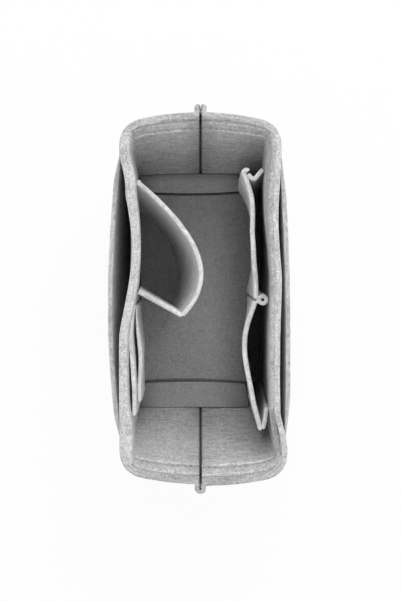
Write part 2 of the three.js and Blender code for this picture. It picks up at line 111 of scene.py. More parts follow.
def wave(name, depth, y, span, text):
    """A wave of a long wall at the rim: how far it stands out, its middle and its half length"""
    return lengths(name, (depth, y, span), text)


def position(name, metres, text):
    return FloatVectorProperty(name=name, description=text, default=metres, subtype="XYZ", unit="LENGTH")


def number(name, value, text):
    return FloatProperty(name=name, description=text, default=value)


def angle(name, degrees, text):
    return FloatProperty(name=name, description=text, default=math.radians(degrees), subtype="ANGLE")


def grey(name, level, text):
    return FloatVectorProperty(
        name=name, description=text, default=(level, level, level), subtype="COLOR", min=0.0, max=1.0
    )


def node_low(node, axis):
    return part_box(node)[0][axis] / MM


def node_high(node, axis):
    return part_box(node)[1][axis] / MM


class OrganizerBox(bpy.types.PropertyGroup):
    """Sizes of the felt box"""

    felt: length("Felt", node_high("base_panel", 2), "Thickness of walls, linings and pockets")
    seam: length("Seam", 0.4, "Clearance between sewn felts in the frame")
    base_length: length("Base length", 2 * node_high("base_panel", 1), "Outside of the base along Y")
    base_width: length("Base width", 2 * node_high("base_panel", 0), "Outside of the base along X")
    height: length("Height", node_high("left_wall", 2), "From the base to the rim")
    foot: length("Foot", node_low("left_wall", 2), "Lower edge of the walls")
    floor: length("Floor", node_high("floor_lining", 2), "Top of the floor felt")
    end_lean: length("End lean", 36.7, "How far each end leans out at the rim")
    side_lean: length("Side lean", 2, "How far each side leans out at the rim")
    corner_foot: length("Corner at foot", 6, "Size of the rounded corners at the foot")
    corner_rim: length("Corner at rim", 15, "Size of the rounded corners at the rim")
    crown_foot: length("Crown at foot", 1.5, "Bow of the ends at the foot")
    crown_rim: length("Crown at rim", 4.3, "Bow of the ends at the rim")
    front_inset: length("Front inset", 2.2, "How far the front's foot stands in")
    front_skew: length("Front skew", 1.4, "How far the right half of the front's rim stands out")
    waist: wave("Left waist", -9, 36, 62, "Inward wave of the left wall")
    belly: wave("Left belly", 0.4, -62, 40, "Outward wave of the left wall")
    shoulder: wave("Left shoulder", -1.9, 88, 16, "Inward wave of the left wall beside its back corner")
    right_waist: wave("Right waist", -2.3, 60, 45, "Inward wave of the right wall")
    hip: wave("Hip", -1.2, -48, 57, "Inward wave of the right wall before its front corner")
    kick: length("Right front spread", 4.2, "How far the right wall spreads at its front corner")
    kick_span: length("Spread span", 28, "Length of wall over which it spreads")
    pinch_foot: length("Pinch at foot", 6.2, "How far the pinched seams stand out at the foot")
    pinch_rim: length("Pinch at rim", 7.05, "How far the pinched seams stand out at the rim")
    pinch_bend: length("Pinch bend", 2.4, "Bend radius beside a pinched seam")
    bow: length("Lining bow", 0.1, "How far a lining stands off its wall below the rim")
    bow_back: length("Lining bow at back", 3.2, "How far the right lining stands off at the back")
    bow_span: length("Bow span", 60, "Length of lining over which the bow grows")
    bow_drop: length("Bow drop", 30, "From the rim to where a lining stands off most")
    turn_foot: number("Lining turn at foot", 0.1, "Share of a corner that a lining follows at the foot")
    turn_rim: number("Lining turn at rim", 0.5, "Share of a corner that a lining follows at the rim")
    facing_felt: length("Facing felt", 1.6, "Thickness of the strips inside the rim of the ends")
    facing_puff: length("Facing puff", 0.5, "Swell of the strips between their two rows of stitches")
    facing_width: length("Facing width", 24, "Height of the strips inside the rim of the ends")
    facing_lip: length("Facing lip", 1.1, "Stand of the strips below their lower row")
    seam_slit: length("Seam slit", 1.8, "Width of the dark slit where the two halves of an end meet")
    tuck: length("Lining tuck", 0.9, "How far the right lining stands off the wall at its front end")
    tuck_drop: length("Tuck drop", 16, "How far the right lining's rim drops at its front end")
    puff: length("Lining puff", 2.2, "How far the left lining's rim swells towards the front")
    press: length("Lining press", 1.3, "How far the left lining's rim is pressed thin along its middle")


class OrganizerPockets(bpy.types.PropertyGroup):
    """Sizes of the pockets"""

    foot: length("Foot", node_low("bottle_pocket_panel", 2), "Lower edge of the inner pockets")
    outer_top: length("Outer pocket mouth", node_high("left_outer_pocket", 2), "Height of the outer pockets")
    left_belly: length("Left outer belly", 6.4, "Bulge of the left outer pocket at its mouth")
    right_belly: length("Right outer belly", 2.4, "Bulge of the right outer pocket at its mouth")
    outer_belly: length("Outer foot bulge", 0.2, "Bulge of the outer pockets at their foot")
    left_taper: length("Left taper", 22, "Length over which it thins out to its ends")
    right_taper: length("Right taper", 36, "Length over which it thins out to its ends")
    outer_thin: length("Outer thin end", 1.2, "Thickness of the outer pockets at their sewn ends")
    bottle_top: length("Bottle mouth", node_high("bottle_pocket_panel", 2), "Height of the bottle pocket")
    bottle_seam: lengths("Bottle seam", (22.4, 23), "From the wall's back corner, at foot and mouth")
    bottle_tab: length("Bottle tab", 2.5, "Strip sewn flat against the wall")
    bottle_corner_y: length("Bottle corner", -12.5, "Place of the folded front corner")
    bottle_reach: lengths("Bottle reach", (27, 34.7), "From the wall to the corner, at foot and mouth")
    bottle_leave: angle("Leave angle", 40, "Direction of the panel at the seam")
    bottle_pull: lengths("Bottle pull", (50, 62), "How strongly the panel swings out, at foot and mouth")
    bottle_return: lengths("Bottle return", (24, 33), "How strongly it swings back, at foot and mouth")
    bottle_turn_foot: angle("Turn at foot", 74, "Direction of the panel at the corner, at the foot")
    bottle_turn_top: angle("Turn at mouth", 45, "Direction of the panel at the corner, at the mouth")
    gusset_y: length("Bottle gusset", 4.5, "Where the bottle pocket's gusset meets the wall")
    card_felt: length("Card felt", 2.8, "Thickness of the card pockets")
    card_foot: length("Card foot", node_low("card_pocket_rear", 2), "Lower edge of the card pockets")
    card_rear_top: length("Rear card mouth", node_high("card_pocket_rear", 2), "Height of the rear one")
    card_front_top: length("Front card mouth", node_high("card_pocket_front", 2), "Height of the front one")
    card_back_y: length("Card back end", -5, "Back end of the card pockets")
    card_rear_y: length("Rear card end", -84, "Front end of the rear card pocket")
    card_front_y: length("Front card end", -75, "Front end of the front card pocket")
    card_taper: length("Card taper", 36, "Length over which the card pockets thin out to their back end")
    card_rear_bulge: length("Rear card bulge", 1.9, "Opening of the rear card pocket")
    card_front_bulge: length("Front card bulge", 2.4, "Opening of the front card pocket")
    pleat_top: length("Pleat mouth", node_high("pleat_back_panel", 2), "Height of the pleated pocket")
    pleat_y: length("Loop place", -1.5, "The loop that divides the pleated pocket")
    loop_radius: length("Loop radius", 4.1, "Outside of the loop")
    loop_bore: length("Loop bore", 1.1, "Inside of the loop")
    neck: length("Loop neck", 5.7, "From the middle of the loop to the panels")
    neck_half: length("Neck half", 1.8, "Half width of the loop's neck")
    back_inset: lengths("Back inset", (5.2, 13.5), "From corner to back panel, at foot and mouth")
    front_inset: lengths("Front inset", (2.4, 10), "From corner to front panel, at foot and mouth")
    back_spread: length("Back spread", 4.3, "How far the back panel swings out at its end")
    back_wave: length("Back wave", 1.6, "How far the back panel bows towards the wall before its end")
    back_tuck: length("Back tuck", 3.4, "How far the back panel's foot stands in behind its mouth")
    front_tuck: length("Front tuck", 1.2, "How far the front panel's far end stands in")
    front_foot_tuck: length("Front foot tuck", 3.2, "How far its foot stands in beside the loop")
    front_belly: lengths("Front belly", (4, 7), "Bulge of the front panel, at foot and mouth")
    curl: length("Curl", 1.7, "Radius of the back panel's rolled end")
    curl_turn: angle("Curl turn", 165, "How far the back panel's end rolls over")
    flap_lift: length("Flap lift", 1.6, "How far the free edges of the flaps stand off the floor")
    flap_bow: length("Flap bow", 1.3, "Bow of the flaps' free edges")
    back_flap_edge: length("Back flap edge", 79.0, "Ends of the back flap's free edge")
    front_flap_edge: length("Front flap edge", 71.8, "Ends of the front flap's free edge")


class OrganizerFinish(bpy.types.PropertyGroup):
    """Colours of the felt and thread, and sizes of the stitches"""

    wall: grey("Wall felt", 0.65, "Felt of the walls and linings")
    # Painted shade: the right lining is the walls' felt painted darker, as less light falls on it
    lining: grey("Right lining", 0.5, "Felt of the right lining")
    pocket: grey("Pocket felt", 0.72, "Felt of the pockets")
    # Painted shade: the floor and its flaps are painted darker than the walls, as less light reaches the
    # floor of the box
    floor: grey("Floor felt", 0.45, "Felt of the floor and its flaps")
    thread: grey("Thread", 0.62, "Sewing thread")
    board: grey("Board", 0.06, "Stiffening board under the floor")
    stitch_pitch: length("Stitch pitch", 4.4, "From one stitch to the next")
    stitch_length: length("Stitch length", 3.3, "Length of thread that shows")
    stitch_width: length("Stitch width", 1.0, "Thickness of the thread")
    row_depth: length("Row depth", 1.15, "How deep a row of stitches pulls into the felt")
    row_width: length("Row width", 1.7, "Half width of the groove along a row of stitches")
    edge_round: length("Edge rounding", 1.5, "Rounding of the felt's cut edges")
    rim_round: length("Rim rounding", 1.5, "Rounding of the outside of the rim")
    sewn_round: length("Sewn rounding", 0.15, "Rounding of edges where two felts are sewn together")
    wander: length("Wander", 0.35, "Unevenness of hand-cut felt")


class OrganizerStage(bpy.types.PropertyGroup):
    """Camera and light"""

    camera: position("Camera", (0.0, 0.046, 1.35), "Place of the camera")
    target: position("Target", (0.0, -0.0011, 0.15), "Point that the camera faces")
    lens: number("Lens", 101.95, "Focal length in millimetres")
    sensor: number("Sensor", 36.0, "Height of the sensor in millimetres")
    sky: number("Sky", 0.87, "Strength of the light from all round")
    key: number("Key", 6.4, "Power of the large lamp in watts")
    lamp: position("Lamp", (0.25, 0.9, 1.15), "Place of the large lamp")
    lamp_target: position("Lamp target", (0.0, -0.02, 0.1), "Point that the lamp faces")
    lamp_span: lengths("Lamp span", (900, 700), "Width and depth of the lamp")
    floor_span: length("Floor span", 6000, "Width of the studio floor")


# Small maths


def mix(a, b, t):
    return a + (b - a) * t


def clamp(value):
    return min(max(value, 0.0), 1.0)


def smooth(value):
    """Rises smoothly from 0 to 1 as a value does"""
    part = clamp(value)
    return part**2 * (3 - 2 * part)


def bump(distance, span):
    return max(math.cos(math.pi / 2 * min(abs(distance / span), 1.0)), 0.0) ** 1.25


def spread(start, end, steps, place):
    return [place(mix(start, end, i / steps)) for i in range(steps + 1)]


def arc(centre, radius, start, end, steps):
    turn = lambda a: centre + radius * Vector((math.cos(a), math.sin(a)))
    return spread(start, end, steps, turn)


def mirrored(line, x, y):
    return [Vector((p.x * x, p.y * y)) for p in line]


def quadratic(a, b, c, steps):
    return spread(0, 1, steps, lambda t: a * (1 - t) ** 2 + b * (2 * t * (1 - t)) + c * t**2)


def cubic(a, b, c, d, steps):
    at = lambda t: a * (1 - t) ** 3 + b * (3 * t * (1 - t) ** 2) + c * (3 * t**2 * (1 - t)) + d * t**3
    return spread(0, 1, steps, at)


def line_normals(line):
    """Left normals of a line, lengthened at its bends so that a strip keeps its thickness"""
    steps = [(b - a).normalized() for a, b in zip(line, line[1:])]
    normals = []
    for first, last in zip([steps[0]] + steps, steps + [steps[-1]]):
        one = Vector((-first.y, first.x))
        two = Vector((-last.y, last.x))
        middle = (one + two).normalized()
        normals.append(middle / max(middle.dot(one), MITRE_LIMIT))
    return normals


def running(points):
    """Distance along a line of points, at each of them"""
    total = [0.0]
    for a, b in zip(points, points[1:]):
        total.append(total[-1] + (b - a).length)
    return total


def line_length(line):
    return running(line)[-1]


# Lines of the walls and pockets in plan


class Plan:
    """Where each felt stands, at any height"""

    END_STEPS = 26
    CORNER_STEPS = 12
    SIDE_STEPS = 80
    BEND_STEPS = 6
    PANEL_STEPS = 48

    # The left lining's pressed rim: how far down, between which places and over which length it fades
    PRESS_DROP = 70 * MM
    PRESS_FRONT, PRESS_BACK = -84 * MM, 72 * MM
    PRESS_FADE = 24 * MM

    # The right lining's tucked front end: where it starts and over which length it grows
    TUCK_START = 75 * MM
    TUCK_SPAN = 17 * MM

    # The pinched seams: how far the sewn edges lean apart, where they close, and the front fold's tuck
    LOBE_LEAN = 0.3 * MM
    LOBE_SHARE, LOBE_DROP = 0.35, 0.6
    FOLD_TUCK = 1.0 * MM
    FRONT_SKEW_LEFT = 0.15
    FACING_LAP = 1.02
    OUTER_SKEW = {"left": 1.1, "right": 1.12}

    # The bottle pocket: from its tab to its panel, and how far the gusset sinks into the wall
    BOTTLE_STEP = Vector((1.6, -1.0)) * MM
    GUSSET_SINK = Vector((1.6, 0.0)) * MM

    # The card pockets: which part of its length each opens over, the gap behind it and its thinnest share
    CARD_REAR_SPAN = (0.36, 1.16)
    CARD_FRONT_SPAN = (0.04, 0.86)
    CARD_GAP = 0.1 * MM
    CARD_THIN = 0.3

    # The pleated pocket: the loop's gap and tails, the back panel's waves and the creases of the pleats
    LOOP_GAP = math.radians(26)
    LOOP_TAIL = Vector((-2.6, 0.0)) * MM
    BACK_WAVES = ((0.3, 0.335, 0.18), (-1.0, 0.725, 0.2), (-0.4, 0.0, 0.2))
    BACK_WAVE_FOOT = 0.2
    BACK_END, BACK_END_FOOT = 0.8, 1.4
    BACK_TUCK = (1.6, 0.46, 0.44)
    FRONT_PEAK = 0.66
    FRONT_TUCK = (0.2, 0.22)
    BACK_CREASE = ((-2.2, 12.0), (-6.4, 7.4), (1.4, 1.2))
    CREASE_FROM, CREASE_TO = 0.55, 0.3
    FRONT_CREASE = (1.0 * MM, 16.5 * MM)
    FRONT_CREASE_BOW = 0.8
    FRONT_CREASE_SINK = 0.35

    # Share of the neck's half width at which both panels of the pleated pocket start
    NECK_SHARE = 0.4

    def __init__(self, scene):
        self.box = scene.organizer_box
        self.pockets = scene.organizer_pockets
        self.finish = scene.organizer_finish
        self.layer = self.box.felt + self.box.seam
        self.half = self.box.base_width / 2 - self.layer - self.box.felt / 2

    def rise(self, z):
        return (z - self.box.foot) / (self.box.height - self.box.foot)

    def end_reach(self, z, side="left", end="back"):
        box, rise = self.box, self.rise(z)
        reach = box.base_length / 2 - box.felt / 2 + box.end_lean * rise
        if end == "front":
            skew = box.front_skew * (1.0 if side == "right" else self.FRONT_SKEW_LEFT)
            reach += mix(-box.front_inset, skew, rise)
        return reach

    def kick(self, side, end):
        return self.box.kick if (side, end) == ("right", "front") else 0.0

    def corner(self, side, end, z):
        """Crown, outside, leaving point, turning place and joining place of a corner"""
        size = mix(self.box.corner_foot, self.box.corner_rim, self.rise(z))
        crown = mix(self.box.crown_foot if end == "back" else 0.0, self.box.crown_rim, self.rise(z))
        out_x = self.half + self.rise(z) * (self.box.side_lean + self.kick(side, end))
        end_x = out_x - size
        end_y = self.end_reach(z, side, end) - crown
        turn_y = end_y - 2 * crown / end_x * size
        return crown, out_x, Vector((end_x, end_y)), turn_y, turn_y - size

    def side_end(self, side, end, z):
        return self.corner(side, end, z)[4]

    def wall_x(self, side, y, z):
        box = self.box
        waves = (box.waist, box.belly, box.shoulder) if side == "left" else (box.right_waist, box.hip)
        stand = box.side_lean + sum(depth * bump(y - middle, span) for depth, middle, span in waves)
        if side == "right":
            stand += box.kick * bump(y + self.side_end("right", "front", z), box.kick_span)
        return self.half + stand * self.rise(z)

    def lining_depth(self, side, y, z):
        """From a wall's middle to its lining's middle"""
        box = self.box
        knee = box.height - box.bow_drop
        part = (z - box.foot) / (knee - box.foot) if z < knee else (box.height - z) / box.bow_drop
        share = bump(y - box.base_length / 2, box.bow_span) if side == "right" else 0.0
        bow = mix(box.bow, box.bow_back, share)
        return self.layer + bow * math.sin(math.pi / 2 * max(part, 0.0))

    def lining_face(self, side, y, z):
        return self.wall_x(side, y, z) - self.lining_depth(side, y, z) - self.box.felt / 2

    def lining_press(self, y, z):
        """How much thinner the left lining is towards its rim, along the middle of the wall"""
        along = clamp(min(self.PRESS_BACK - y, y - self.PRESS_FRONT) / self.PRESS_FADE)
        return self.box.press * self.near_rim(z) * along

    def near_rim(self, z):
        """Grows from 0 to 1 up to the rim"""
        return max(1 - (self.box.height - z) / self.PRESS_DROP, 0.0)

    def end_line(self, side, end, z, from_x, steps=END_STEPS):
        crown, _, leave, _, _ = self.corner(side, end, z)
        place = lambda x: Vector((x, self.end_reach(z, side, end) - crown * (x / leave.x) ** 2))
        return spread(from_x, leave.x, steps, place)

    def corner_line(self, side, end, z, start=0.0, finish=1.0, steps=CORNER_STEPS):
        _, out_x, leave, turn_y, side_y = self.corner(side, end, z)
        turn, join = Vector((out_x, turn_y)), Vector((out_x, side_y))
        place = lambda t: leave * (1 - t) ** 2 + turn * (2 * t * (1 - t)) + join * t**2
        return spread(start, finish, steps, place)

    def side_line(self, side, z):
        back, front = self.side_end(side, "back", z), -self.side_end(side, "front", z)
        return spread(back, front, self.SIDE_STEPS, lambda y: Vector((self.wall_x(side, y, z), y)))

    def half_end(self, side, end, z):
        """From the pinched seam along one half of an end and round its corner"""
        bend = self.box.pinch_bend
        x = (self.box.felt + self.box.seam) / 2
        y = self.end_reach(z, side, end)
        turn = arc(Vector((x + bend, y + bend)), bend, math.pi, 1.5 * math.pi, self.BEND_STEPS)
        end_part = self.end_line(side, end, z, x + bend)
        return turn + end_part[1:] + self.corner_line(side, end, z)[1:]

    def band_line(self, z):
        """The whole wall: one strip, folded in the middle of the front and sewn in the middle of the back"""
        box = self.box
        pinch = mix(box.pinch_foot, box.pinch_rim, self.rise(z))
        x = (box.felt + box.seam) / 2
        tip = self.end_reach(z) + pinch
        closed = Vector((x + self.LOBE_LEAN * self.LOBE_SHARE, tip - box.felt * self.LOBE_DROP))
        lobe = [Vector((x + self.LOBE_LEAN, tip)), closed]
        left_back = mirrored(lobe + self.half_end("left", "back", z), -1, 1)
        left_side = mirrored(self.side_line("left", z), -1, 1)[1:-1]
        left_front = mirrored(self.half_end("left", "front", z), -1, -1)[::-1]
        fold_y = box.felt / 2 + x - pinch - self.FOLD_TUCK - self.end_reach(z, "left", "front")
        fold = arc(Vector((0, fold_y)), x, math.pi, 2 * math.pi, 2 * self.BEND_STEPS)
        right_front = mirrored(self.half_end("right", "front", z), 1, -1)
        right_side = self.side_line("right", z)[1:-1][::-1]
        right_back = (lobe + self.half_end("right", "back", z))[::-1]
        return left_back + left_side + left_front + fold + right_front + right_side + right_back

    def lining_line(self, side, z):
        """Along a long wall, with both ends turned into the corners"""
        back = self.corner_line(side, "back", z, 1 - self.lining_turn(side, "back", z))
        front = self.corner_line(side, "front", z, 1 - self.lining_turn(side, "front", z))
        wall = back + self.side_line(side, z)[1:-1] + mirrored(front, 1, -1)[::-1]

        def depth(y):
            stand = self.box.tuck * self.rise(z) * self.tucked(y) if side == "right" else 0.0
            return self.lining_depth(side, y, z) + stand

        inside = [p - n * depth(p.y) for p, n in zip(wall, line_normals(wall))]
        return mirrored(inside, SIDES[side], 1)

    def lining_turn(self, side, end, z):
        """Share of a corner that a lining follows"""
        rim = self.box.turn_rim if (side, end) != ("right", "front") else self.box.turn_foot
        return mix(self.box.turn_foot, rim, self.rise(z))

    def tucked(self, y):
        """Grows from 0 to 1 along the last of the right lining, towards the front"""
        return smooth((-y - self.TUCK_START) / self.TUCK_SPAN)

    def facing_line(self, side, end, z):
        box = self.box
        turned = self.FACING_LAP - self.lining_turn(side, end, z)
        corner = self.corner_line(side, end, z, 0.0, turned, self.CORNER_STEPS * 2)
        line = self.end_line(side, end, z, box.seam_slit / 2, self.END_STEPS * 3)[:-1] + corner
        depth = box.felt / 2 + box.seam + box.facing_felt / 2
        inside = [p - n * depth for p, n in zip(line, line_normals(line))]
        return mirrored(inside, SIDES[side], ENDS[end])

    def outer_thinness(self, y, side, z):
        """Share of its thickness that an outer pocket keeps, less towards its sewn ends"""
        back, front = self.side_end(side, "back", z), -self.side_end(side, "front", z)
        taper = self.pockets.left_taper if side == "left" else self.pockets.right_taper
        return mix(self.pockets.outer_thin / self.box.felt, 1.0, smooth(min(back - y, y - front) / taper))

    def outer_line(self, side, z):
        box, pockets = self.box, self.pockets
        back, front = self.side_end(side, "back", z), -self.side_end(side, "front", z)
        openness = (z - box.foot) / (pockets.outer_top - box.foot)
        ends = [self.wall_x(side, y, z) + box.felt for y in (back, front)]
        belly = pockets.left_belly if side == "left" else pockets.right_belly

        def place(t):
            y, s = mix(back, front, t), t ** self.OUTER_SKEW[side]
            bulge = mix(pockets.outer_belly, belly, openness) * 4 * s * (1 - s)
            pressed = (1 - self.outer_thinness(y, side, z)) * box.felt / 2
            return Vector((mix(ends[0], ends[1], t) + bulge - pressed, y))

        return mirrored(spread(0, 1, 2 * self.PANEL_STEPS, place), SIDES[side], 1)

    # Bottle pocket

    def pocket_rise(self, z, top):
        return (z - self.pockets.foot) / (top - self.pockets.foot)

    def bottle_rise(self, z):
        return self.pocket_rise(z, self.pockets.bottle_top)

    def bottle_seam(self, z):
        inset = mix(*self.pockets.bottle_seam, self.bottle_rise(z))
        return self.on_left_lining(self.side_end("left", "back", z) - inset, z)

    def on_left_lining(self, y, z):
        return Vector((self.box.felt / 2 - self.lining_face("left", y, z), y))

    def bottle_corner(self, z):
        y = self.pockets.bottle_corner_y
        away = mix(*self.pockets.bottle_reach, self.bottle_rise(z))
        return Vector((away - self.lining_face("left", y, z), y))

    def bottle_line(self, z):
        """The sewn tab, then the panel as far as the folded corner"""
        pockets, t = self.pockets, self.bottle_rise(z)
        leave = mix(*pockets.bottle_pull, t)
        back = mix(*pockets.bottle_return, t)
        turn = mix(pockets.bottle_turn_foot, pockets.bottle_turn_top, t)
        seam, corner = self.bottle_seam(z), self.bottle_corner(z)
        away = Vector((math.cos(pockets.bottle_leave), -math.sin(pockets.bottle_leave)))
        tab = spread(seam.y + pockets.bottle_tab, seam.y, 4, lambda y: self.on_left_lining(y, z))
        start = seam + self.BOTTLE_STEP
        before = corner + Vector((math.cos(turn), math.sin(turn))) * back
        return tab + cubic(start, start + away * leave, before, corner, 2 * self.PANEL_STEPS)

    def bottle_gusset_line(self, z):
        wall = self.on_left_lining(self.pockets.gusset_y, z) - self.GUSSET_SINK
        return spread(0, 1, 20, lambda t: wall.lerp(self.bottle_corner(z), t))

    # Card pockets

    def card_swell(self, y, z, front_y, top, span):
        """How far a card pocket opens, over part of its length"""
        back_y, foot = self.pockets.card_back_y, self.pockets.card_foot
        part = ((back_y - y) / (back_y - front_y) - span[0]) / (span[1] - span[0])
        return (z - foot) / (top - foot) * math.sin(math.pi * clamp(part)) ** 1.2

    def card_thinness(self, y):
        """Share of its thickness that a card pocket keeps, less towards its back end"""
        return mix(self.CARD_THIN, 1.0, smooth((self.pockets.card_back_y - y) / self.pockets.card_taper))

    def card_rear_x(self, y, z):
        pockets = self.pockets
        swell = self.card_swell(y, z, pockets.card_rear_y, pockets.card_rear_top, self.CARD_REAR_SPAN)
        felt = pockets.card_felt / 2 * self.card_thinness(y)
        stand = felt + self.CARD_GAP + pockets.card_rear_bulge * swell
        return stand - self.lining_press(y, z) - self.lining_face("left", y, z)

    def card_rear_line(self, z):
        place = lambda y: Vector((self.card_rear_x(y, z), y))
        return spread(self.pockets.card_back_y, self.pockets.card_rear_y, self.PANEL_STEPS, place)

    def card_front_line(self, z):
        pockets = self.pockets

        def place(y):
            swell = self.card_swell(y, z, pockets.card_front_y, pockets.card_front_top, self.CARD_FRONT_SPAN)
            felt = pockets.card_felt * self.card_thinness(y)
            stand = felt + self.CARD_GAP + pockets.card_front_bulge * swell
            return Vector((self.card_rear_x(y, z) + stand, y))

        return spread(pockets.card_back_y, pockets.card_front_y, self.PANEL_STEPS, place)

    # Pleated pocket

    def pleat_face(self, y, z):
        return self.lining_face("right", y, z)

    def neck_depth(self):
        return self.box.seam + self.pockets.loop_radius + self.pockets.neck

    def loop_centre(self, z):
        y = self.pockets.pleat_y
        return Vector((self.pleat_face(y, z) - self.box.seam - self.pockets.loop_radius, y))

    def pleat_rise(self, z):
        return self.pocket_rise(z, self.pockets.pleat_top)

    def panel_end(self, end, z):
        """Where a panel of the pleated pocket ends along the wall"""
        inset = self.pockets.back_inset if end == "back" else self.pockets.front_inset
        return ENDS[end] * (self.side_end("right", end, z) - mix(*inset, self.pleat_rise(z)))

    def loop_line(self, z):
        """The loop and both sides of its neck, which closes against itself"""
        pockets = self.pockets
        middle = (pockets.loop_radius + pockets.loop_bore) / 2
        ring = arc(self.loop_centre(z), middle, math.pi + self.LOOP_GAP, 3 * math.pi - self.LOOP_GAP, 36)
        return [ring[0] + self.LOOP_TAIL] + ring + [ring[-1] + self.LOOP_TAIL]

    def back_panel_line(self, z):
        pockets, rise = self.pockets, self.pleat_rise(z)
        start = pockets.pleat_y + pockets.neck_half * self.NECK_SHARE
        end = self.panel_end("back", z) - pockets.curl
        strength, middle, span = self.BACK_TUCK

        def place(t):
            y = mix(start, end, t)
            waves = sum(share * bump(t - peak, reach) for share, peak, reach in self.BACK_WAVES)
            last = max((t - self.BACK_END) / (1 - self.BACK_END), 0.0)
            tuck = min(strength * bump(t - middle, span), 1.0)
            swing = pockets.back_spread * last**2 * mix(self.BACK_END_FOOT, 1.0, rise)
            swing += pockets.back_wave * waves * mix(self.BACK_WAVE_FOOT, 1.0, rise)
            swing -= pockets.back_tuck * (1 - rise) * tuck
            return Vector((self.pleat_face(y, z) - self.neck_depth() - swing, y))

        line = spread(0, 1, self.PANEL_STEPS, place)
        ahead = (line[-1] - line[-2]).normalized()
        right = Vector((ahead.y, -ahead.x))
        roll = lambda a: line[-1] + (ahead * math.sin(a) + right * (1 - math.cos(a))) * pockets.curl
        return line + spread(0, pockets.curl_turn, 10, roll)[1:]

    def front_panel_line(self, z):
        pockets = self.pockets
        belly = mix(*pockets.front_belly, self.pleat_rise(z))
        start = pockets.pleat_y - pockets.neck_half * self.NECK_SHARE
        foot_tuck = pockets.front_foot_tuck * (1 - self.pleat_rise(z))
        middle, span = self.FRONT_TUCK

        def place(t):
            y = mix(start, self.panel_end("front", z), t)
            bulge = belly * math.sin(math.pi * t**self.FRONT_PEAK) ** 2 - pockets.front_tuck * t**2
            bulge -= foot_tuck * bump(t - middle, span)
            return Vector((self.pleat_face(y, z) - self.neck_depth() - bulge, y))

        return spread(0, 1, self.PANEL_STEPS, place)

    def back_gusset_line(self, z):
        """The pleat between the back panel's end and the wall"""
        end = self.panel_end("back", z)
        at = lambda y, depth: Vector((self.pleat_face(end + y * MM, z) - depth * MM, end + y * MM))
        beside, crease, wall = [at(*place) for place in self.BACK_CREASE]
        inner = spread(0, self.CREASE_FROM, 4, lambda t: beside.lerp(crease, t))
        soft = quadratic(inner[-1], crease, crease.lerp(wall, self.CREASE_TO), 8)
        outer = spread(self.CREASE_TO, 1, 8, lambda t: crease.lerp(wall, t))
        return inner[:-1] + soft + outer[1:]

    def front_gusset_line(self, z):
        end = self.panel_end("front", z)
        start_y, end_y = [end + step for step in self.FRONT_CREASE]
        depth = self.neck_depth() - self.pockets.front_tuck - self.box.felt / 2
        panel = self.pleat_face(start_y, z) - depth
        wall = self.pleat_face(end_y, z) - self.box.felt * self.FRONT_CREASE_SINK
        place = lambda t: Vector((mix(panel, wall, t**self.FRONT_CREASE_BOW), mix(start_y, end_y, t)))
        return spread(0, 1, 14, place)


# Felt modelling


def wander(point, amount):
    """Unevenness of felt, the same for felts that lie on each other"""
    return amount * sum(share * noise.noise(point * scale + shift) for scale, share, shift in WANDER)


def heights(foot, top, coarse, fine, fine_band):
    """Rows from foot to top, closer together in the band below the top"""
    low_steps = max(int(round((top - fine_band - foot) / coarse)), 1)
    top_steps = max(int(round(fine_band / fine)), 1)
    rows = spread(foot, top - fine_band, low_steps, float)
    return rows + spread(top - fine_band, top, top_steps, float)[1:]


def pocket_rows(foot, top):
    return heights(foot, top, COARSE_ROW, FINE_ROW, RIM_BAND)


def with_fine_rows(rows, levels, reach, step):
    """Adds closely spaced rows beside some levels"""
    count = int(reach / step)
    extra = [level + i * step for level in levels for i in range(-count, count + 1)]
    kept = [z for z in rows if all(abs(z - level) > reach + step / 2 for level in levels)]
    return sorted(kept + [z for z in extra if rows[0] < z < rows[-1]])


def panel_section(rows, faces, rounds, arc_steps=4):
    """Height and depth of each point of a panel's section, from its foot up one face and down the other"""
    low, high = faces
    top = rows[-1]
    one, two = rounds
    quarter = [math.pi / 2 * i / arc_steps for i in range(arc_steps + 1)]
    up = [(z, low) for z in rows if z < top - one * ROUND_CLEARANCE]
    up += [(top - one + one * math.sin(a), low + one - one * math.cos(a)) for a in quarter]
    down = [(top - two + two * math.sin(a), high - two + two * math.cos(a)) for a in reversed(quarter)]
    down += [(z, high) for z in reversed(rows) if z < top - two * ROUND_CLEARANCE]
    foot = (rows[0], (low + high) / 2)
    return [foot] + up + down + [foot]


def end_rows(line, reach, steps):
    """Points and thickness factors that round off the start of a line"""
    first = line[0]
    if not reach:
        return [(first, 0.0), (first, 1.0)]
    ahead = line[1] - first
    radius = min(reach, ahead.length * END_SHARE)
    turns = [math.pi / 2 * i / steps for i in range(steps + 1)]
    return [(first + ahead.normalized() * radius * (1 - math.cos(a)), math.sin(a)) for a in turns]


def rounded_line(line, ends, steps=4):
    start = end_rows(line, ends[0], steps)
    finish = end_rows(line[::-1], ends[1], steps)[::-1]
    return start + [(p, 1.0) for p in line[1:-1]] + finish


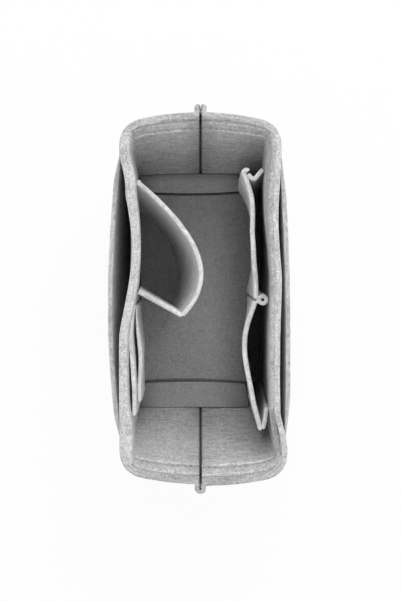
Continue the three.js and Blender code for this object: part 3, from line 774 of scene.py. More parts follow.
def felt_panel(name, line_at, rows, faces, rounds, ends=(0.0, 0.0), dent=None, thin=None, sink=None):
    """A standing felt panel: a grid wrapped round the panel's section and swept along its line in plan"""
    top = rows[-1]
    unevenness = bpy.context.scene.organizer_finish.wander
    section = panel_section(rows, faces, rounds)
    over = running([Vector(place) for place in section])
    columns = [rounded_line(line_at(z), ends) for z, _ in section]
    width, height = len(columns[0]) - 1, len(section) - 1
    along = running([point for point, _ in columns[height // 2]])
    mesh = bmesh.new()
    bmesh.ops.create_grid(mesh, x_segments=width, y_segments=height, size=0.5)
    layer = mesh.loops.layers.uv.new(FELT_UV)
    normals = [line_normals_of(column) for column in columns]
    for face in mesh.faces:
        for loop in face.loops:
            i, j = grid_place(loop.vert, width, height)
            loop[layer].uv = (along[i], over[j])
    for vert in mesh.verts:
        i, j = grid_place(vert, width, height)
        z, depth = section[j]
        point, factor = columns[j][i]
        normal = normals[j][i]
        middle = Vector((point.x, point.y, z))
        shift = depth * factor * (thin(middle) if thin else 1.0) + wander(middle, unevenness)
        if dent:
            shift += dent(along[i], middle, depth) * factor
        near_top = max(1 - (top - z) / RIM_BAND, 0.0)
        lift = wander(middle + Vector((0, 0, 1)), unevenness * RIM_WANDER) * near_top
        if sink:
            lift -= sink(middle) * max(1 - (top - z) / SINK_BAND, 0.0)
        vert.co = middle + Vector((normal.x * shift, normal.y * shift, lift))
    bmesh.ops.remove_doubles(mesh, verts=mesh.verts, dist=MERGE)
    bmesh.ops.dissolve_degenerate(mesh, edges=mesh.edges, dist=MERGE / 2)
    # Two faces with unlike roundings leave a slit of no width at each end of the rim
    slits = [edge for edge in mesh.edges if edge.is_boundary]
    bmesh.ops.holes_fill(mesh, edges=slits, sides=0)
    bmesh.ops.recalc_face_normals(mesh, faces=mesh.faces)
    return finish_mesh(name, mesh)


def grid_place(vert, width, height):
    return round((vert.co.x + 0.5) * width), round((vert.co.y + 0.5) * height)


def line_normals_of(column):
    """Normals of a line whose end points may stand on each other"""
    points = [p for p, _ in column]
    kept = [i for i, p in enumerate(points) if i == 0 or (p - points[i - 1]).length > 1e-7]
    normals = dict(zip(kept, line_normals([points[i] for i in kept])))
    result = []
    for i in range(len(points)):
        result.append(normals[i] if i in normals else result[-1])
    return result


def finish_mesh(name, mesh):
    for face in mesh.faces:
        face.smooth = True
    for edge in mesh.edges:
        if len(edge.link_faces) == 2 and edge.calc_face_angle(0.0) > SHARP:
            edge.smooth = False
    data = bpy.data.meshes.new(name)
    mesh.to_mesh(data)
    mesh.free()
    piece = bpy.data.objects.new(name, data)
    bpy.context.scene.collection.objects.link(piece)
    return piece


def thicken(mesh, thickness, edge):
    """Gives a flat felt its thickness and soft edges"""
    risen = bmesh.ops.extrude_face_region(mesh, geom=mesh.faces[:])["geom"]
    moved = [part for part in risen if isinstance(part, bmesh.types.BMVert)]
    bmesh.ops.translate(mesh, vec=(0, 0, thickness), verts=moved)
    bmesh.ops.recalc_face_normals(mesh, faces=mesh.faces)
    turned = [e for e in mesh.edges if e.calc_face_angle(0.0) > SHARP]
    corners = [e for e in turned if abs(e.verts[0].co.z - e.verts[1].co.z) < 1e-7]
    bmesh.ops.bevel(
        mesh, geom=corners, offset=edge, offset_type="OFFSET", affect="EDGES", segments=3, profile=0.5,
        material=-1,
    )
    layer = mesh.loops.layers.uv.new(FELT_UV)
    for face in mesh.faces:
        for loop in face.loops:
            loop[layer].uv = (loop.vert.co.x, loop.vert.co.y)


def felt_slab(name, low, high, corner, edge):
    """A flat felt piece: a rectangle with rounded corners"""
    mesh = bmesh.new()
    corners = [(low.x, low.y), (high.x, low.y), (high.x, high.y), (low.x, high.y)]
    mesh.faces.new([mesh.verts.new((x, y, low.z)) for x, y in corners])
    bmesh.ops.bevel(
        mesh, geom=list(mesh.verts), offset=corner, offset_type="OFFSET", affect="VERTICES", segments=8,
        profile=0.5, material=-1,
    )
    thicken(mesh, high.z - low.z, edge)
    return finish_mesh(name, mesh)


def felt_strip(name, edges, span, slant, levels, edge, lift):
    """A flat felt strip between two curved edges, whose second edge curls up a little and ends on a slant"""
    mesh = bmesh.new()
    bmesh.ops.create_grid(mesh, x_segments=40, y_segments=10, size=0.5)
    for vert in mesh.verts:
        t = vert.co.y + 0.5
        x = mix(span[0], span[1] - slant * t, vert.co.x + 0.5)
        outer, inner = edges(x)
        vert.co = Vector((x, mix(outer, inner, t), levels[0] + lift * t**3))
    thicken(mesh, levels[1] - levels[0], edge)
    return finish_mesh(name, mesh)


# Materials


class Wire:
    """A number in a shader that takes part in Python arithmetic"""

    def __init__(self, graph, socket):
        self.graph = graph
        self.socket = socket

    def maths(self, operation, first, second):
        return self.graph.add("ShaderNodeMath", {"operation": operation}, {0: first, 1: second})

    def __add__(self, other):
        return self.maths("ADD", self, other)

    def __radd__(self, other):
        return self.maths("ADD", other, self)

    def __sub__(self, other):
        return self.maths("SUBTRACT", self, other)

    def __rsub__(self, other):
        return self.maths("SUBTRACT", other, self)

    def __mul__(self, other):
        return self.maths("MULTIPLY", self, other)

    def __rmul__(self, other):
        return self.maths("MULTIPLY", other, self)


class Graph:
    """The node tree of a material or of the world"""

    def __init__(self, owner):
        owner.use_nodes = True
        self.owner = owner
        self.tree = owner.node_tree

    def add(self, kind, settings=None, sockets=None, out=0):
        """A node of this kind, with its settings made first and then its sockets; gives one of its outputs"""
        node = self.tree.nodes.new(kind)
        for key, value in (settings or {}).items():
            if key == "stops":
                self.set_stops(node.color_ramp, value)
            else:
                setattr(node, key, value)
        for key, value in (sockets or {}).items():
            self.join(node.inputs[key], value)
        return Wire(self, node.outputs[out])

    def set_stops(self, ramp, stops):
        while len(ramp.elements) < len(stops):
            ramp.elements.new(1.0)
        for element, (place, level) in zip(ramp.elements, stops):
            element.position = place
            element.color = (level, level, level, 1.0)

    def join(self, socket, value):
        if isinstance(value, Wire):
            self.tree.links.new(value.socket, socket)
        else:
            socket.default_value = value

    def noise(self, vector, scale, detail=3.0, roughness=0.5, distortion=0.0):
        sockets = {"Vector": vector, "Scale": scale, "Detail": detail}
        sockets.update({"Roughness": roughness, "Distortion": distortion})
        return self.add("ShaderNodeTexNoise", {}, sockets)

    def stretched(self, vector, scale, turn=0.0):
        sockets = {"Vector": vector, "Scale": scale, "Rotation": (0.0, 0.0, turn)}
        return self.add("ShaderNodeMapping", {}, sockets)

    def step(self, value, low, high):
        """Rises smoothly from 0 to 1 as a value goes from low to high"""
        settings = {"interpolation_type": "SMOOTHSTEP"}
        return self.add("ShaderNodeMapRange", settings, {"Value": value, "From Min": low, "From Max": high})

    def seen_directly(self):
        """1 on rays from the camera and on those that mirror or pass to it"""
        kinds = ("Camera", "Glossy", "Transmission")
        rays = [self.add("ShaderNodeLightPath", out=f"Is {kind} Ray") for kind in kinds]
        return rays[0] + rays[1] + rays[2]

    def shade(self, **sockets):
        shader = self.tree.nodes["Principled BSDF"]
        for key, value in sockets.items():
            self.join(shader.inputs[key.replace("_", " ")], value)
        return self.owner


def new_graph(name):
    return Graph(bpy.data.materials.new(name))


def tint(colour, level):
    return tuple(channel * level for channel in colour) + (1.0,)


def felt_material(name, colour, contrast, streak=0.4, grain=640.0, crease=0.0, shades=()):
    """Heathered felt: mixed light and dark fibres, long streaks along the strip and a fuzzy surface"""
    graph = new_graph(name)
    strip = graph.add("ShaderNodeUVMap", {"uv_map": FELT_UV})
    place = graph.add("ShaderNodeTexCoord", out="Object")
    mottle = graph.noise(place, 90.0, 3.0, 0.6)
    speckle = graph.noise(place, grain, 2.0, 0.6)
    fuzz = graph.noise(place, 2600.0, 2.0, 0.6)
    creased = graph.step(graph.noise(place, 17.0, 1.0), 0.4, 0.62)
    creases = graph.noise(graph.stretched(strip, (20.0, 150.0, 1.0)), 1.0, 2.0, 0.5, 1.4) * creased
    streaks = graph.noise(graph.stretched(strip, (80.0, 290.0, 1.0)), 1.0, 3.0, 0.6, 1.8)
    fibres = graph.noise(graph.stretched(strip, (320.0, 1700.0, 1.0), 0.35), 1.0, 3.0, 0.55, 1.2)
    tufts = graph.noise(graph.stretched(strip, (360.0, 200.0, 1.0), -0.3), 1.0, 3.0, 0.6, 0.8)
    heather = streak * streaks + (0.6 - streak) * speckle + 0.12 * mottle + 0.14 * fibres + 0.14 * tufts
    level = graph.add("ShaderNodeValToRGB", {"stops": [(0.40, 0.0), (0.60, 1.0)]}, {"Fac": heather})
    blend = colour_mix(graph, level, tint(colour, 1 - contrast), tint(colour, 1 + contrast))
    # Painted shade and light from each shade function multiply the colour
    for shade, *values in shades:
        blend = colour_mix(graph, 1.0, blend, shade(graph, place, *values), "MULTIPLY")
    relief = 0.8 * streak * streaks + 0.25 * fibres + 0.35 * tufts + 0.3 * speckle + 0.15 * fuzz
    relief = relief + crease * creases
    bump_normal = graph.add("ShaderNodeBump", {}, {"Strength": 0.7, "Distance": 0.0010, "Height": relief})
    return graph.shade(
        Base_Color=blend, Roughness=0.93, Normal=bump_normal, Specular_IOR_Level=0.15, Sheen_Weight=0.12,
        Sheen_Roughness=0.6,
    )


def axes(graph, vector):
    """The three numbers of a place"""
    parts = graph.add("ShaderNodeSeparateXYZ", {}, {"Vector": vector})
    return [Wire(graph, socket) for socket in parts.socket.node.outputs]


def size_of(graph, value):
    return graph.add("ShaderNodeMath", {"operation": "ABSOLUTE"}, {0: value})


def rim_shade(graph, place, top, side_loss, end_loss):
    """Darker at the very top of the rim than on the faces below, more so on the two ends of the box"""
    box = bpy.context.scene.organizer_box
    _, along, height = axes(graph, place)
    side_end = box.base_length / 2 + box.end_lean - box.corner_rim
    at_end = graph.step(size_of(graph, along), side_end - 6 * MM, side_end + 8 * MM)
    loss = side_loss + (end_loss - side_loss) * at_end
    return 1 - graph.step(height, top - 2.6 * MM, top - 0.6 * MM) * loss


def corner_shade(graph, place, loss, front_loss):
    """Low in the corners of the box, where little light falls, the inside of the walls is darker"""
    across, along, height = axes(graph, place)
    low = 1 - graph.step(height, 15 * MM, 85 * MM)
    corner = graph.step(size_of(graph, across), 34 * MM, 52 * MM)
    right_back = graph.step(across, 8 * MM, 44 * MM) * graph.step(along, 60 * MM, 80 * MM)
    behind_pleat = 1 - graph.step(height, 70 * MM, 100 * MM)
    right_front = graph.step(across, 43 * MM, 49 * MM) * graph.step(0 - along, 70 * MM, 88 * MM)
    inside = inner_face(graph)
    shade = 1 - inside * low * loss * (corner + 0.7 * right_back)
    return shade * (1 - inside * behind_pleat * right_front * front_loss)


def lining_shade(graph, place):
    """Painted shade: the front end of the right lining is darker low down, behind the pleat, where little
    light falls
    """
    _, along, height = axes(graph, place)
    return 1 - 0.62 * (1 - graph.step(height, 78 * MM, 124 * MM)) * graph.step(0 - along, 78 * MM, 92 * MM)


def gusset_shade(graph, place):
    """Little light falls down into the front pleat"""
    return 0.32 + 0.68 * graph.step(axes(graph, place)[2], 84 * MM, 127 * MM)


def row_shade(graph, along, level, floor, reach):
    """Painted shade along a line at a level, as along a row of stitches, in a slit or under an edge, where
    little light falls; a floor above 1 paints a light ridge instead
    """
    return floor + (1 - floor) * graph.step(size_of(graph, along - level), reach * 0.3, reach)


def facing_shade(graph, place):
    """Painted shade along each row of stitches, with a painted highlight on the ridge below it"""
    upper, lower = facing_levels(bpy.context.scene.organizer_box)
    height = axes(graph, place)[2]
    shade = 1.0
    for level, dark, ridge_highlight in ((upper + 0.7 * MM, 0.52, 1.06), (lower + 0.3 * MM, 0.5, 1.14)):
        shade = shade * row_shade(graph, height, level, dark, 2.0 * MM)
        shade = shade * row_shade(graph, height, level - 2.6 * MM, ridge_highlight, 1.7 * MM)
    return shade


def seam_shade(graph, place, inside_only):
    """Painted shade: little light falls into the slit where the two halves of an end meet, and the felt is
    painted darker for some way either side of it, where it dips towards the slit
    """
    across, along, _ = axes(graph, place)
    broad_shade_loss = 0.14 + 0.16 * graph.step(along, -10 * MM, 10 * MM)
    broad_shade = 1 - broad_shade_loss * (1 - graph.step(size_of(graph, across), 1.5 * MM, 16 * MM))
    shade = row_shade(graph, across, 0.0, 0.2, 1.5 * MM) * broad_shade
    return 1 - (1 - shade) * inner_face(graph) if inside_only else shade


def inner_face(graph):
    """1 on the inside of the wall band, which comes last round its section, and 0 on its outside"""
    strip = graph.add("ShaderNodeUVMap", {"uv_map": FELT_UV})
    top = bpy.context.scene.organizer_box.height
    return graph.step(axes(graph, strip)[1], top - 1 * MM, top + 2 * MM)


def floor_shade(graph, place):
    """Shadow lines under the bowed free edges of the two flaps"""
    pockets = bpy.context.scene.organizer_pockets
    across, along, _ = axes(graph, place)
    part = (across + 10 * MM) * (1 / (37 * MM))
    bowed = part * part * pockets.flap_bow
    beside = pockets.flap_bow + 0.6 * MM
    back = row_shade(graph, along - bowed, pockets.back_flap_edge - beside, 0.22, 2.0 * MM)
    front = row_shade(graph, along + bowed, beside - pockets.front_flap_edge, 0.45, 2.6 * MM)
    return back * front * pleat_shadow(graph, across)


def pleat_shadow(graph, across):
    """Towards the pleated pocket less light reaches the floor"""
    return 1.02 - 0.54 * graph.step(across, 6 * MM, 42 * MM)


def flap_shade(graph, place):
    """Painted shade and light: the flaps are darker beside the left wall, towards the pleated pocket and
    along the hem of the back one, and lighter elsewhere, the back flap more than the front one
    """
    across, along, _ = axes(graph, place)
    left = 0.62 + 0.48 * graph.step(across, -49 * MM, -30 * MM)
    hem = 0.97 + 0.17 * graph.step(along, -10 * MM, 10 * MM) - 0.4 * graph.step(along, 85 * MM, 92 * MM)
    return pleat_shadow(graph, across) * left * hem


def colour_mix(graph, factor, first, second, blend="MIX"):
    """A mix of two colours; the Mix node keeps its colour sockets at these places"""
    settings = {"data_type": "RGBA", "blend_type": blend}
    return graph.add("ShaderNodeMix", settings, {0: factor, 6: first, 7: second}, out=2)


def thread_material(name, finish):
    graph = new_graph(name)
    place = graph.add("ShaderNodeTexCoord", out="Object")
    strands = graph.noise(place, 2500.0, 2.0, 0.5)
    blend = colour_mix(graph, strands, tint(finish.thread, 0.82), tint(finish.thread, 1.12))
    return graph.shade(Base_Color=blend, Roughness=0.6, Specular_IOR_Level=0.3)


def board_material(name, finish):
    graph = new_graph(name)
    place = graph.add("ShaderNodeTexCoord", out="Object")
    grain = graph.noise(place, 900.0, 3.0, 0.6)
    blend = colour_mix(graph, grain, tint(finish.board, 0.85), tint(finish.board, 1.2))
    return graph.shade(Base_Color=blend, Roughness=0.55 + 0.2 * grain)


def felt(colour, contrast, level=1.0, **values):
    """A maker of felt in one of the finish's colours"""
    shade = lambda finish: tint(getattr(finish, colour), level)[:3]
    return lambda name, finish: felt_material(name, shade(finish), contrast, **values)


WALL_RIM = (rim_shade, 0.15, 0.12, 0.28)
POCKET_RIM = (rim_shade, 0.125, 0.16, 0.16)
WALL_SHADES = [WALL_RIM, (corner_shade, 0.35, 0.68), (seam_shade, True)]
FACING_SHADES = [WALL_RIM, (facing_shade,), (seam_shade, False)]
FLAT_FELT = {"streak": 0.06, "grain": 950.0}
MAKERS = {
    "wall_felt": felt("wall", 0.39, streak=0.28, crease=1.1, shades=WALL_SHADES),
    # The right lining: its felt painted darker as shade, with painted shade low at its front end
    "lining_felt": felt("lining", 0.38, streak=0.3, crease=0.4, shades=[WALL_RIM, (lining_shade,)]),
    # The facing strips: the walls' felt painted darker as shade, with painted shade and highlights along
    # their rows
    "facing_felt": felt("wall", 0.42, 0.93, streak=0.28, crease=0.4, shades=FACING_SHADES),
    "outer_pocket_felt": felt("wall", 0.36, shades=[POCKET_RIM]),
    "pocket_felt": felt("pocket", 0.3),
    "gusset_felt": felt("pocket", 0.3, shades=[(gusset_shade,)]),
    # The flaps and floor: the floor colour painted darker as shade, with painted shadow lines and painted
    # shade beside the walls
    "base_felt": felt("floor", 0.21, shades=[(flap_shade,)], **FLAT_FELT),
    "under_felt": felt("wall", 0.32, 0.93, streak=0.06),
    "floor_felt": felt("floor", 0.21, shades=[(floor_shade,)], **FLAT_FELT),
    "sewing_thread": thread_material,
    "stiffening_board": board_material,
}
made_materials = {}


def material(name):
    if name not in made_materials:
        made_materials[name] = MAKERS[name](name, bpy.context.scene.organizer_finish)
    return made_materials[name]


def dress(piece, cloth, body=None, nodes=()):
    """Gives a piece its material, the body that it rides on and the frame's nodes that it stands for"""
    piece.data.materials.append(material(cloth))
    if nodes:
        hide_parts(*nodes)
    if body:
        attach(piece, body)
    return piece


# Stitches


THREAD_FLAT = 1 / 2.2
UPPER_ROW_DROP = 5.2 * MM
LOWER_ROW_RISE = 3.5 * MM


def row_layout(total, finish):
    """Number of stitches in a row, and where the first one starts"""
    count = int(total / finish.stitch_pitch)
    return count, (total - count * finish.stitch_pitch + finish.stitch_pitch - finish.stitch_length) / 2


def stitch_row(name, points, normals, body="shell", measure=None):
    """A row of sewn threads along points on a felt's face"""
    finish = bpy.context.scene.organizer_finish
    measure = measure or running(points)
    count, margin = row_layout(measure[-1], finish)

    def at(values, distance):
        i = min(max(bisect.bisect_right(measure, distance) - 1, 0), len(values) - 2)
        step = max(measure[i + 1] - measure[i], 1e-9)
        return values[i].lerp(values[i + 1], (distance - measure[i]) / step)

    mesh = bmesh.new()
    for k in range(count):
        begin = margin + k * finish.stitch_pitch
        a, b = at(points, begin), at(points, begin + finish.stitch_length)
        ahead = (b - a).normalized()
        side = at(normals, begin + finish.stitch_length / 2).cross(ahead).normalized()
        turn = Matrix((ahead, side, ahead.cross(side))).transposed().to_4x4()
        wide, flat = finish.stitch_width / 2, finish.stitch_width * THREAD_FLAT
        size = Matrix.Diagonal(((b - a).length / 2, wide, flat, 1.0))
        place = Matrix.Translation((a + b) / 2) @ turn @ size
        bmesh.ops.create_uvsphere(mesh, u_segments=6, v_segments=5, radius=1.0, matrix=place)
    return dress(finish_mesh(name, mesh), "sewing_thread", body)


def groove(z, levels, finish):
    """How much rows of stitches at these levels pull in felt at a height"""
    return sum(math.exp(-(((z - level) / finish.row_width) ** 2)) for level in levels)


def facing_levels(box):
    """Heights of the two rows of stitches that hold a facing strip"""
    return box.height - UPPER_ROW_DROP, box.height - box.facing_width + LOWER_ROW_RISE


# Operators


class ORGANIZER_OT_walls(bpy.types.Operator):
    """Make the wall band, the linings of the long walls and the facing strips of the ends"""

    bl_idname = "organizer.walls"
    bl_label = "Walls"

    # Sewn felts sink into each other by the overlap; rows of the mesh stand closer beside stitches
    OVERLAP = 0.25 * MM
    WALL_ROW = 1.6 * MM
    ROW_MARGIN = 4 * MM
    STITCH_REACH = 3.0 * MM
    WALL_STITCH_STEP = 0.75 * MM
    FACING_STITCH_STEP = 0.5 * MM

    # The pinched seams: slack of each end's slit, limits of its bend, and the swelling outside the sewn edges
    SLIT_SLACK = {"back": 0.03, "front": 0.25}
    BEND_LIMIT, BEND_LEAST = 1.01, 0.1
    BULB = 0.5 * MM
    BULB_SPAN = 2 * MM

    # Shares of a row's depth by which it pulls in the wall's inside and outside
    ROW_INSIDE, ROW_OUTSIDE = -0.4, 0.5

    # The left lining's thick part
    PUFF_Y = -98 * MM
    PUFF_SPAN = 24 * MM

    # A facing strip: rounding of its rim, puckers of its rows, unevenness of its puff and growth of its lip
    FACING_ROUND = 0.8 * MM
    PUCKER = 0.35
    PUFF_SCALE, PUFF_UNEVEN = 190.0, 0.7
    LIP_DROP = 0.6 * MM
    LIP_SPAN = 1.6 * MM
    LIP_LEAST = 0.4

    def execute(self, context):
        plan = Plan(context.scene)
        box, finish = plan.box, plan.finish
        half, levels = box.felt / 2, facing_levels(box)
        grown = half + box.seam / 2 + self.OVERLAP
        rows = heights(box.foot, box.height, COARSE_ROW, self.WALL_ROW, box.facing_width + self.ROW_MARGIN)
        band_rows = with_fine_rows(rows, levels, self.STITCH_REACH, self.WALL_STITCH_STEP)
        faces, rounds = (-half, grown), (finish.rim_round, finish.sewn_round)
        bend = box.pinch_bend
        bend_x = (box.felt + box.seam) / 2 + bend

        def dent(along, point, depth):
            """Rows of stitches along the outside of the ends, and a tight slit inside the pinched seams"""
            end, side = ("back" if point.y > 0 else "front"), ("right" if point.x > 0 else "left")
            in_x, in_y = bend_x - abs(point.x), plan.end_reach(point.z, side, end) + bend - abs(point.y)
            if depth > 0 and min(in_x, in_y) > 0 and max(in_x, in_y) <= bend * self.BEND_LIMIT:
                reach = bend + grown
                slit = (bend_x - box.seam_slit / 2) / max(in_x / bend, self.BEND_LEAST)
                sharp = min(slit, reach / max(in_y / bend, self.BEND_LEAST))
                return max(sharp - reach, 0.0) * depth / grown
            if in_x > 0 and in_y <= 0:
                slack = grown - bend_x + bend + box.seam_slit * self.SLIT_SLACK[end]
                bulb = self.BULB * min(-in_y / self.BULB_SPAN, 1.0)
                return -slack * depth / grown if depth > 0 else -bulb
            on_end = abs(point.y) > plan.side_end("left", "back", point.z) + box.corner_foot / 2
            if not on_end or abs(point.x) < box.pinch_rim:
                return 0.0
            share = self.ROW_INSIDE if depth > 0 else self.ROW_OUTSIDE
            return finish.row_depth * share * groove(point.z, levels, finish)

        band = felt_panel(
            "wall_band_felt", plan.band_line, band_rows, faces, rounds, ends=(half, half), dent=dent
        )
        dress(band, "wall_felt", "shell", ["left_wall", "right_wall"])
        flat = (line_length(plan.band_line(box.height * MIDDLE)), box.height - box.foot)
        for side in SIDES:
            shape = {"faces": faces, "rounds": rounds, "sink": lambda p: box.tuck_drop * plan.tucked(p.y)}
            if side == "left":
                swell = lambda along, point, depth: self.swell(plan, point) * max(depth / half, 0.0)
                shape = {"faces": (-grown, half), "rounds": rounds[::-1], "dent": swell}
            line = lambda z: plan.lining_line(side, z)
            lining = felt_panel(f"{side}_lining_felt", line, rows, ends=(half, half), **shape)
            dress(lining, "wall_felt" if side == "left" else "lining_felt", "shell", [f"{side}_lining"])
            flat = (line_length(line(box.height * 0.5)), box.height - box.foot)
            for end in ENDS:
                self.facing(plan, side, end)
        return {"FINISHED"}

    def swell(self, plan, point):
        """The left lining's rim is thick towards the front and thin along its middle"""
        thick = plan.box.puff * bump(point.y - self.PUFF_Y, self.PUFF_SPAN)
        return plan.near_rim(point.z) * thick - plan.lining_press(point.y, point.z)

    def facing(self, plan, side, end):
        box, finish = plan.box, plan.finish
        half = box.facing_felt / 2
        inward = -1 if SIDES[side] * ENDS[end] > 0 else 1
        touch = half + box.seam / 2 + self.OVERLAP
        faces, rounds = (-half, touch), (self.FACING_ROUND, finish.sewn_round)
        if inward > 0:
            faces, rounds = (-touch, half), rounds[::-1]
        upper, lower = facing_levels(box)
        rows = heights(box.height - box.facing_width, box.height, FINE_ROW, FINE_ROW, box.facing_width / 2)
        rows = with_fine_rows(rows, (upper, lower), self.STITCH_REACH, self.FACING_STITCH_STEP)
        line = lambda z: plan.facing_line(side, end, z)
        top_length = line_length(line(box.height))
        hole = row_layout(top_length, finish)[1] - (finish.stitch_pitch - finish.stitch_length) / 2

        def dent(along, point, depth):
            """The two rows of stitches pull the felt in, most at the holes, and it puffs up between them"""
            if depth * inward <= 0:
                return 0.0
            turn = 2 * math.pi * (along - hole) / finish.stitch_pitch
            pucker = 1 - self.PUCKER + self.PUCKER * math.cos(turn)
            pull = finish.row_depth * pucker * groove(point.z, (upper, lower), finish)
            uneven = 1 + self.PUFF_UNEVEN * noise.noise(point * self.PUFF_SCALE)
            between = max(math.sin(math.pi * (point.z - lower) / (upper - lower)), 0.0)
            puff = between * uneven * box.facing_puff
            below = clamp((lower - self.LIP_DROP - point.z) / self.LIP_SPAN)
            lip = below * mix(self.LIP_LEAST, 1.0, pucker) * box.facing_lip
            return inward * (puff + lip - pull)

        strip = felt_panel(f"{end}_{side}_facing_felt", line, rows, faces, rounds, dent=dent)
        dress(strip, "facing_felt", "shell", [f"{end}_{side}_facing"])


class ORGANIZER_OT_base(bpy.types.Operator):
    """Make the base, the floor felt and the two flaps, and finish the stiffening board"""

    bl_idname = "organizer.base"
    bl_label = "Base and floor"

    SLAB_CORNER = 6 * MM
    SLAB_EDGE = 1.2 * MM
    FLAP_EDGE = 0.6 * MM

    # How far each flap's right end reaches past the frame's, and how far it slants back from there
    FLAP_ENDS = {"back": (2.0 * MM, 0.0), "front": (8.0 * MM, 3.6 * MM)}

    # A flap's hem: its gap to the wall, and where a bend of the felt would start and how far it would span
    # when it lifts; the flaps are not bent here
    HEM_GAP = 0.3 * MM
    HEM_START = 0.5 * MM
    HEM_SPAN = 4 * MM

    def execute(self, context):
        plan = Plan(context.scene)
        for node, cloth in (("base_panel", "under_felt"), ("floor_lining", "floor_felt")):
            low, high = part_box(node)
            piece = felt_slab(f"{node}_felt", low, high, self.SLAB_CORNER, self.SLAB_EDGE)
            dress(piece, cloth, "shell", [node])
        self.flap(plan, "back", plan.pockets.back_flap_edge)
        self.flap(plan, "front", plan.pockets.front_flap_edge)
        board = frame["nodes"]["base_board"]
        board.data.materials.clear()
        board.data.materials.append(material("stiffening_board"))
        return {"FINISHED"}

    def flap(self, plan, end, free):
        """A flap over the floor, whose hem lies along the foot of its wall"""
        node, sign = f"{end}_base_flap", ENDS[end]
        low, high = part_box(node)
        hinge = max(abs(low.y), abs(high.y))
        crown, _, leave, _, _ = plan.corner("left", end, low.z)
        foot = plan.end_reach(low.z, "left", end) - plan.box.felt / 2 - self.HEM_GAP
        middle, half_width = (low.x + high.x) / 2, (high.x - low.x) / 2
        side, slant = self.FLAP_ENDS[end]

        def edges(x):
            part = (x - middle) / half_width
            hem = foot - crown * (x / leave.x) ** 2
            return sign * hem, sign * (free - plan.pockets.flap_bow * (1 - part**2))

        levels, span = (low.z, high.z), (low.x, high.x + side)
        piece = felt_strip(f"{node}_felt", edges, span, slant, levels, self.FLAP_EDGE, plan.pockets.flap_lift)
        dress(piece, "base_felt", None, [node])
        start = Vector((0, sign * (hinge + self.HEM_START), low.z))
        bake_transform(piece)
        foot - free


class ORGANIZER_OT_outer_pockets(bpy.types.Operator):
    """Make the outer slip pockets, each as two halves that meet in the middle and are sewn at the wall's ends
    """

    bl_idname = "organizer.outer_pockets"
    bl_label = "Outer pockets"

    SEWN_END = 0.5 * MM
    INNER_ROUND = 0.4
    BEND_SHARE = 0.25

    def execute(self, context):
        plan = Plan(context.scene)
        box, pockets, edge = plan.box, plan.pockets, plan.finish.edge_round
        half, middle_z = box.felt / 2, pockets.outer_top * MIDDLE
        rows = pocket_rows(box.foot, pockets.outer_top)
        for side in SIDES:
            node = f"{side}_outer_pocket"
            rounds = (edge, edge * self.INNER_ROUND)[:: -SIDES[side]]
            thin = lambda point: plan.outer_thinness(point.y, side, point.z)
            for end in ENDS:
                pick = slice(0, plan.PANEL_STEPS + 1) if end == "back" else slice(plan.PANEL_STEPS, None)
                line = lambda z: plan.outer_line(side, z)[pick]
                ends = (self.SEWN_END, 0.0)[:: ENDS[end]]
                piece = felt_panel(f"{node}_{end}_felt", line, rows, (-half, half), rounds, ends, thin=thin)
                dress(piece, "outer_pocket_felt", None, [node])
                shape = line(middle_z)
                sewn, free = (shape[0], shape[-1])[:: ENDS[end]]
                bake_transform(piece)
                flat = (line_length(shape), pockets.outer_top - box.foot)
        return {"FINISHED"}


class ORGANIZER_OT_bottle_pocket(bpy.types.Operator):
    """Make the bottle pocket: a curved panel with its sewn tab, and a straight gusset"""

    bl_idname = "organizer.bottle_pocket"
    bl_label = "Bottle pocket"

    CORNER_END = 0.6 * MM

    # Places of a bend from before the panel's hinge to behind it, and over most of the gusset's length, which
    # are worked out but not used
    AWAY = Vector((0.5, -0.86, 0.0))
    BEND_BEFORE = 4 * MM
    BEND_AFTER = 6 * MM
    GUSSET_BEND = 0.85

    def execute(self, context):
        plan = Plan(context.scene)
        pockets, edge, half = plan.pockets, plan.finish.edge_round, plan.box.felt / 2
        tall = pockets.bottle_top - pockets.foot
        rows = pocket_rows(pockets.foot, pockets.bottle_top)
        faces, rounds = (-half, half), (edge, edge)
        line, ends = plan.bottle_line, (half, self.CORNER_END)
        panel = felt_panel("bottle_pocket_felt", line, rows, faces, rounds, ends)
        dress(panel, "pocket_felt", None, ["bottle_pocket_panel", "bottle_pocket_tab"])
        joint = next(j for j in frame["joints"] if j["name"] == "bottle_pocket_swing")
        pivot, axis = Vector(joint["pos_m"]), Vector(joint["axis"]).normalized()
        away = (self.AWAY - axis * self.AWAY.dot(axis)).normalized()
        start, end = pivot - away * self.BEND_BEFORE, pivot + away * self.BEND_AFTER
        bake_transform(panel)
        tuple(start)
        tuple(end)
        flat = (line_length(line(pockets.bottle_top)), tall)
        line = plan.bottle_gusset_line
        gusset = felt_panel("bottle_gusset_felt", line, rows, faces, rounds, (0.0, self.CORNER_END))
        dress(gusset, "pocket_felt", None, ["bottle_pocket_gusset"])
        middle = line((pockets.foot + pockets.bottle_top) / 2)
        reach = (middle[-1] - middle[0]) * self.GUSSET_BEND
        start = Vector((middle[0].x, middle[0].y, pockets.foot))
        start + Vector((reach.x, reach.y, 0))
        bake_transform(gusset)
        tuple(start)
        line_length(middle)
        return {"FINISHED"}


class ORGANIZER_OT_card_pockets(bpy.types.Operator):
    """Make the two card pockets"""

    bl_idname = "organizer.card_pockets"
    bl_label = "Card pockets"

    EDGE_SHARE = 0.8

    def execute(self, context):
        plan = Plan(context.scene)
        pockets, finish = plan.pockets, plan.finish
        half, edge = pockets.card_felt / 2, finish.edge_round * self.EDGE_SHARE
        faces, ends = (-half, half), (half, half)
        thin = lambda point: plan.card_thinness(point.y)
        rear, front = "card_pocket_rear", "card_pocket_front"
        for node, line, top, back_round, parent in (
            (rear, plan.card_rear_line, pockets.card_rear_top, finish.sewn_round, "left_lining"),
            (front, plan.card_front_line, pockets.card_front_top, edge, rear),
        ):
            rows = pocket_rows(pockets.card_foot, top)
            piece = felt_panel(f"{node}_felt", line, rows, faces, (back_round, edge), ends, thin=thin)
            dress(piece, "pocket_felt", node, [node])
            flat = (line_length(line(top)), top - pockets.card_foot)
        return {"FINISHED"}


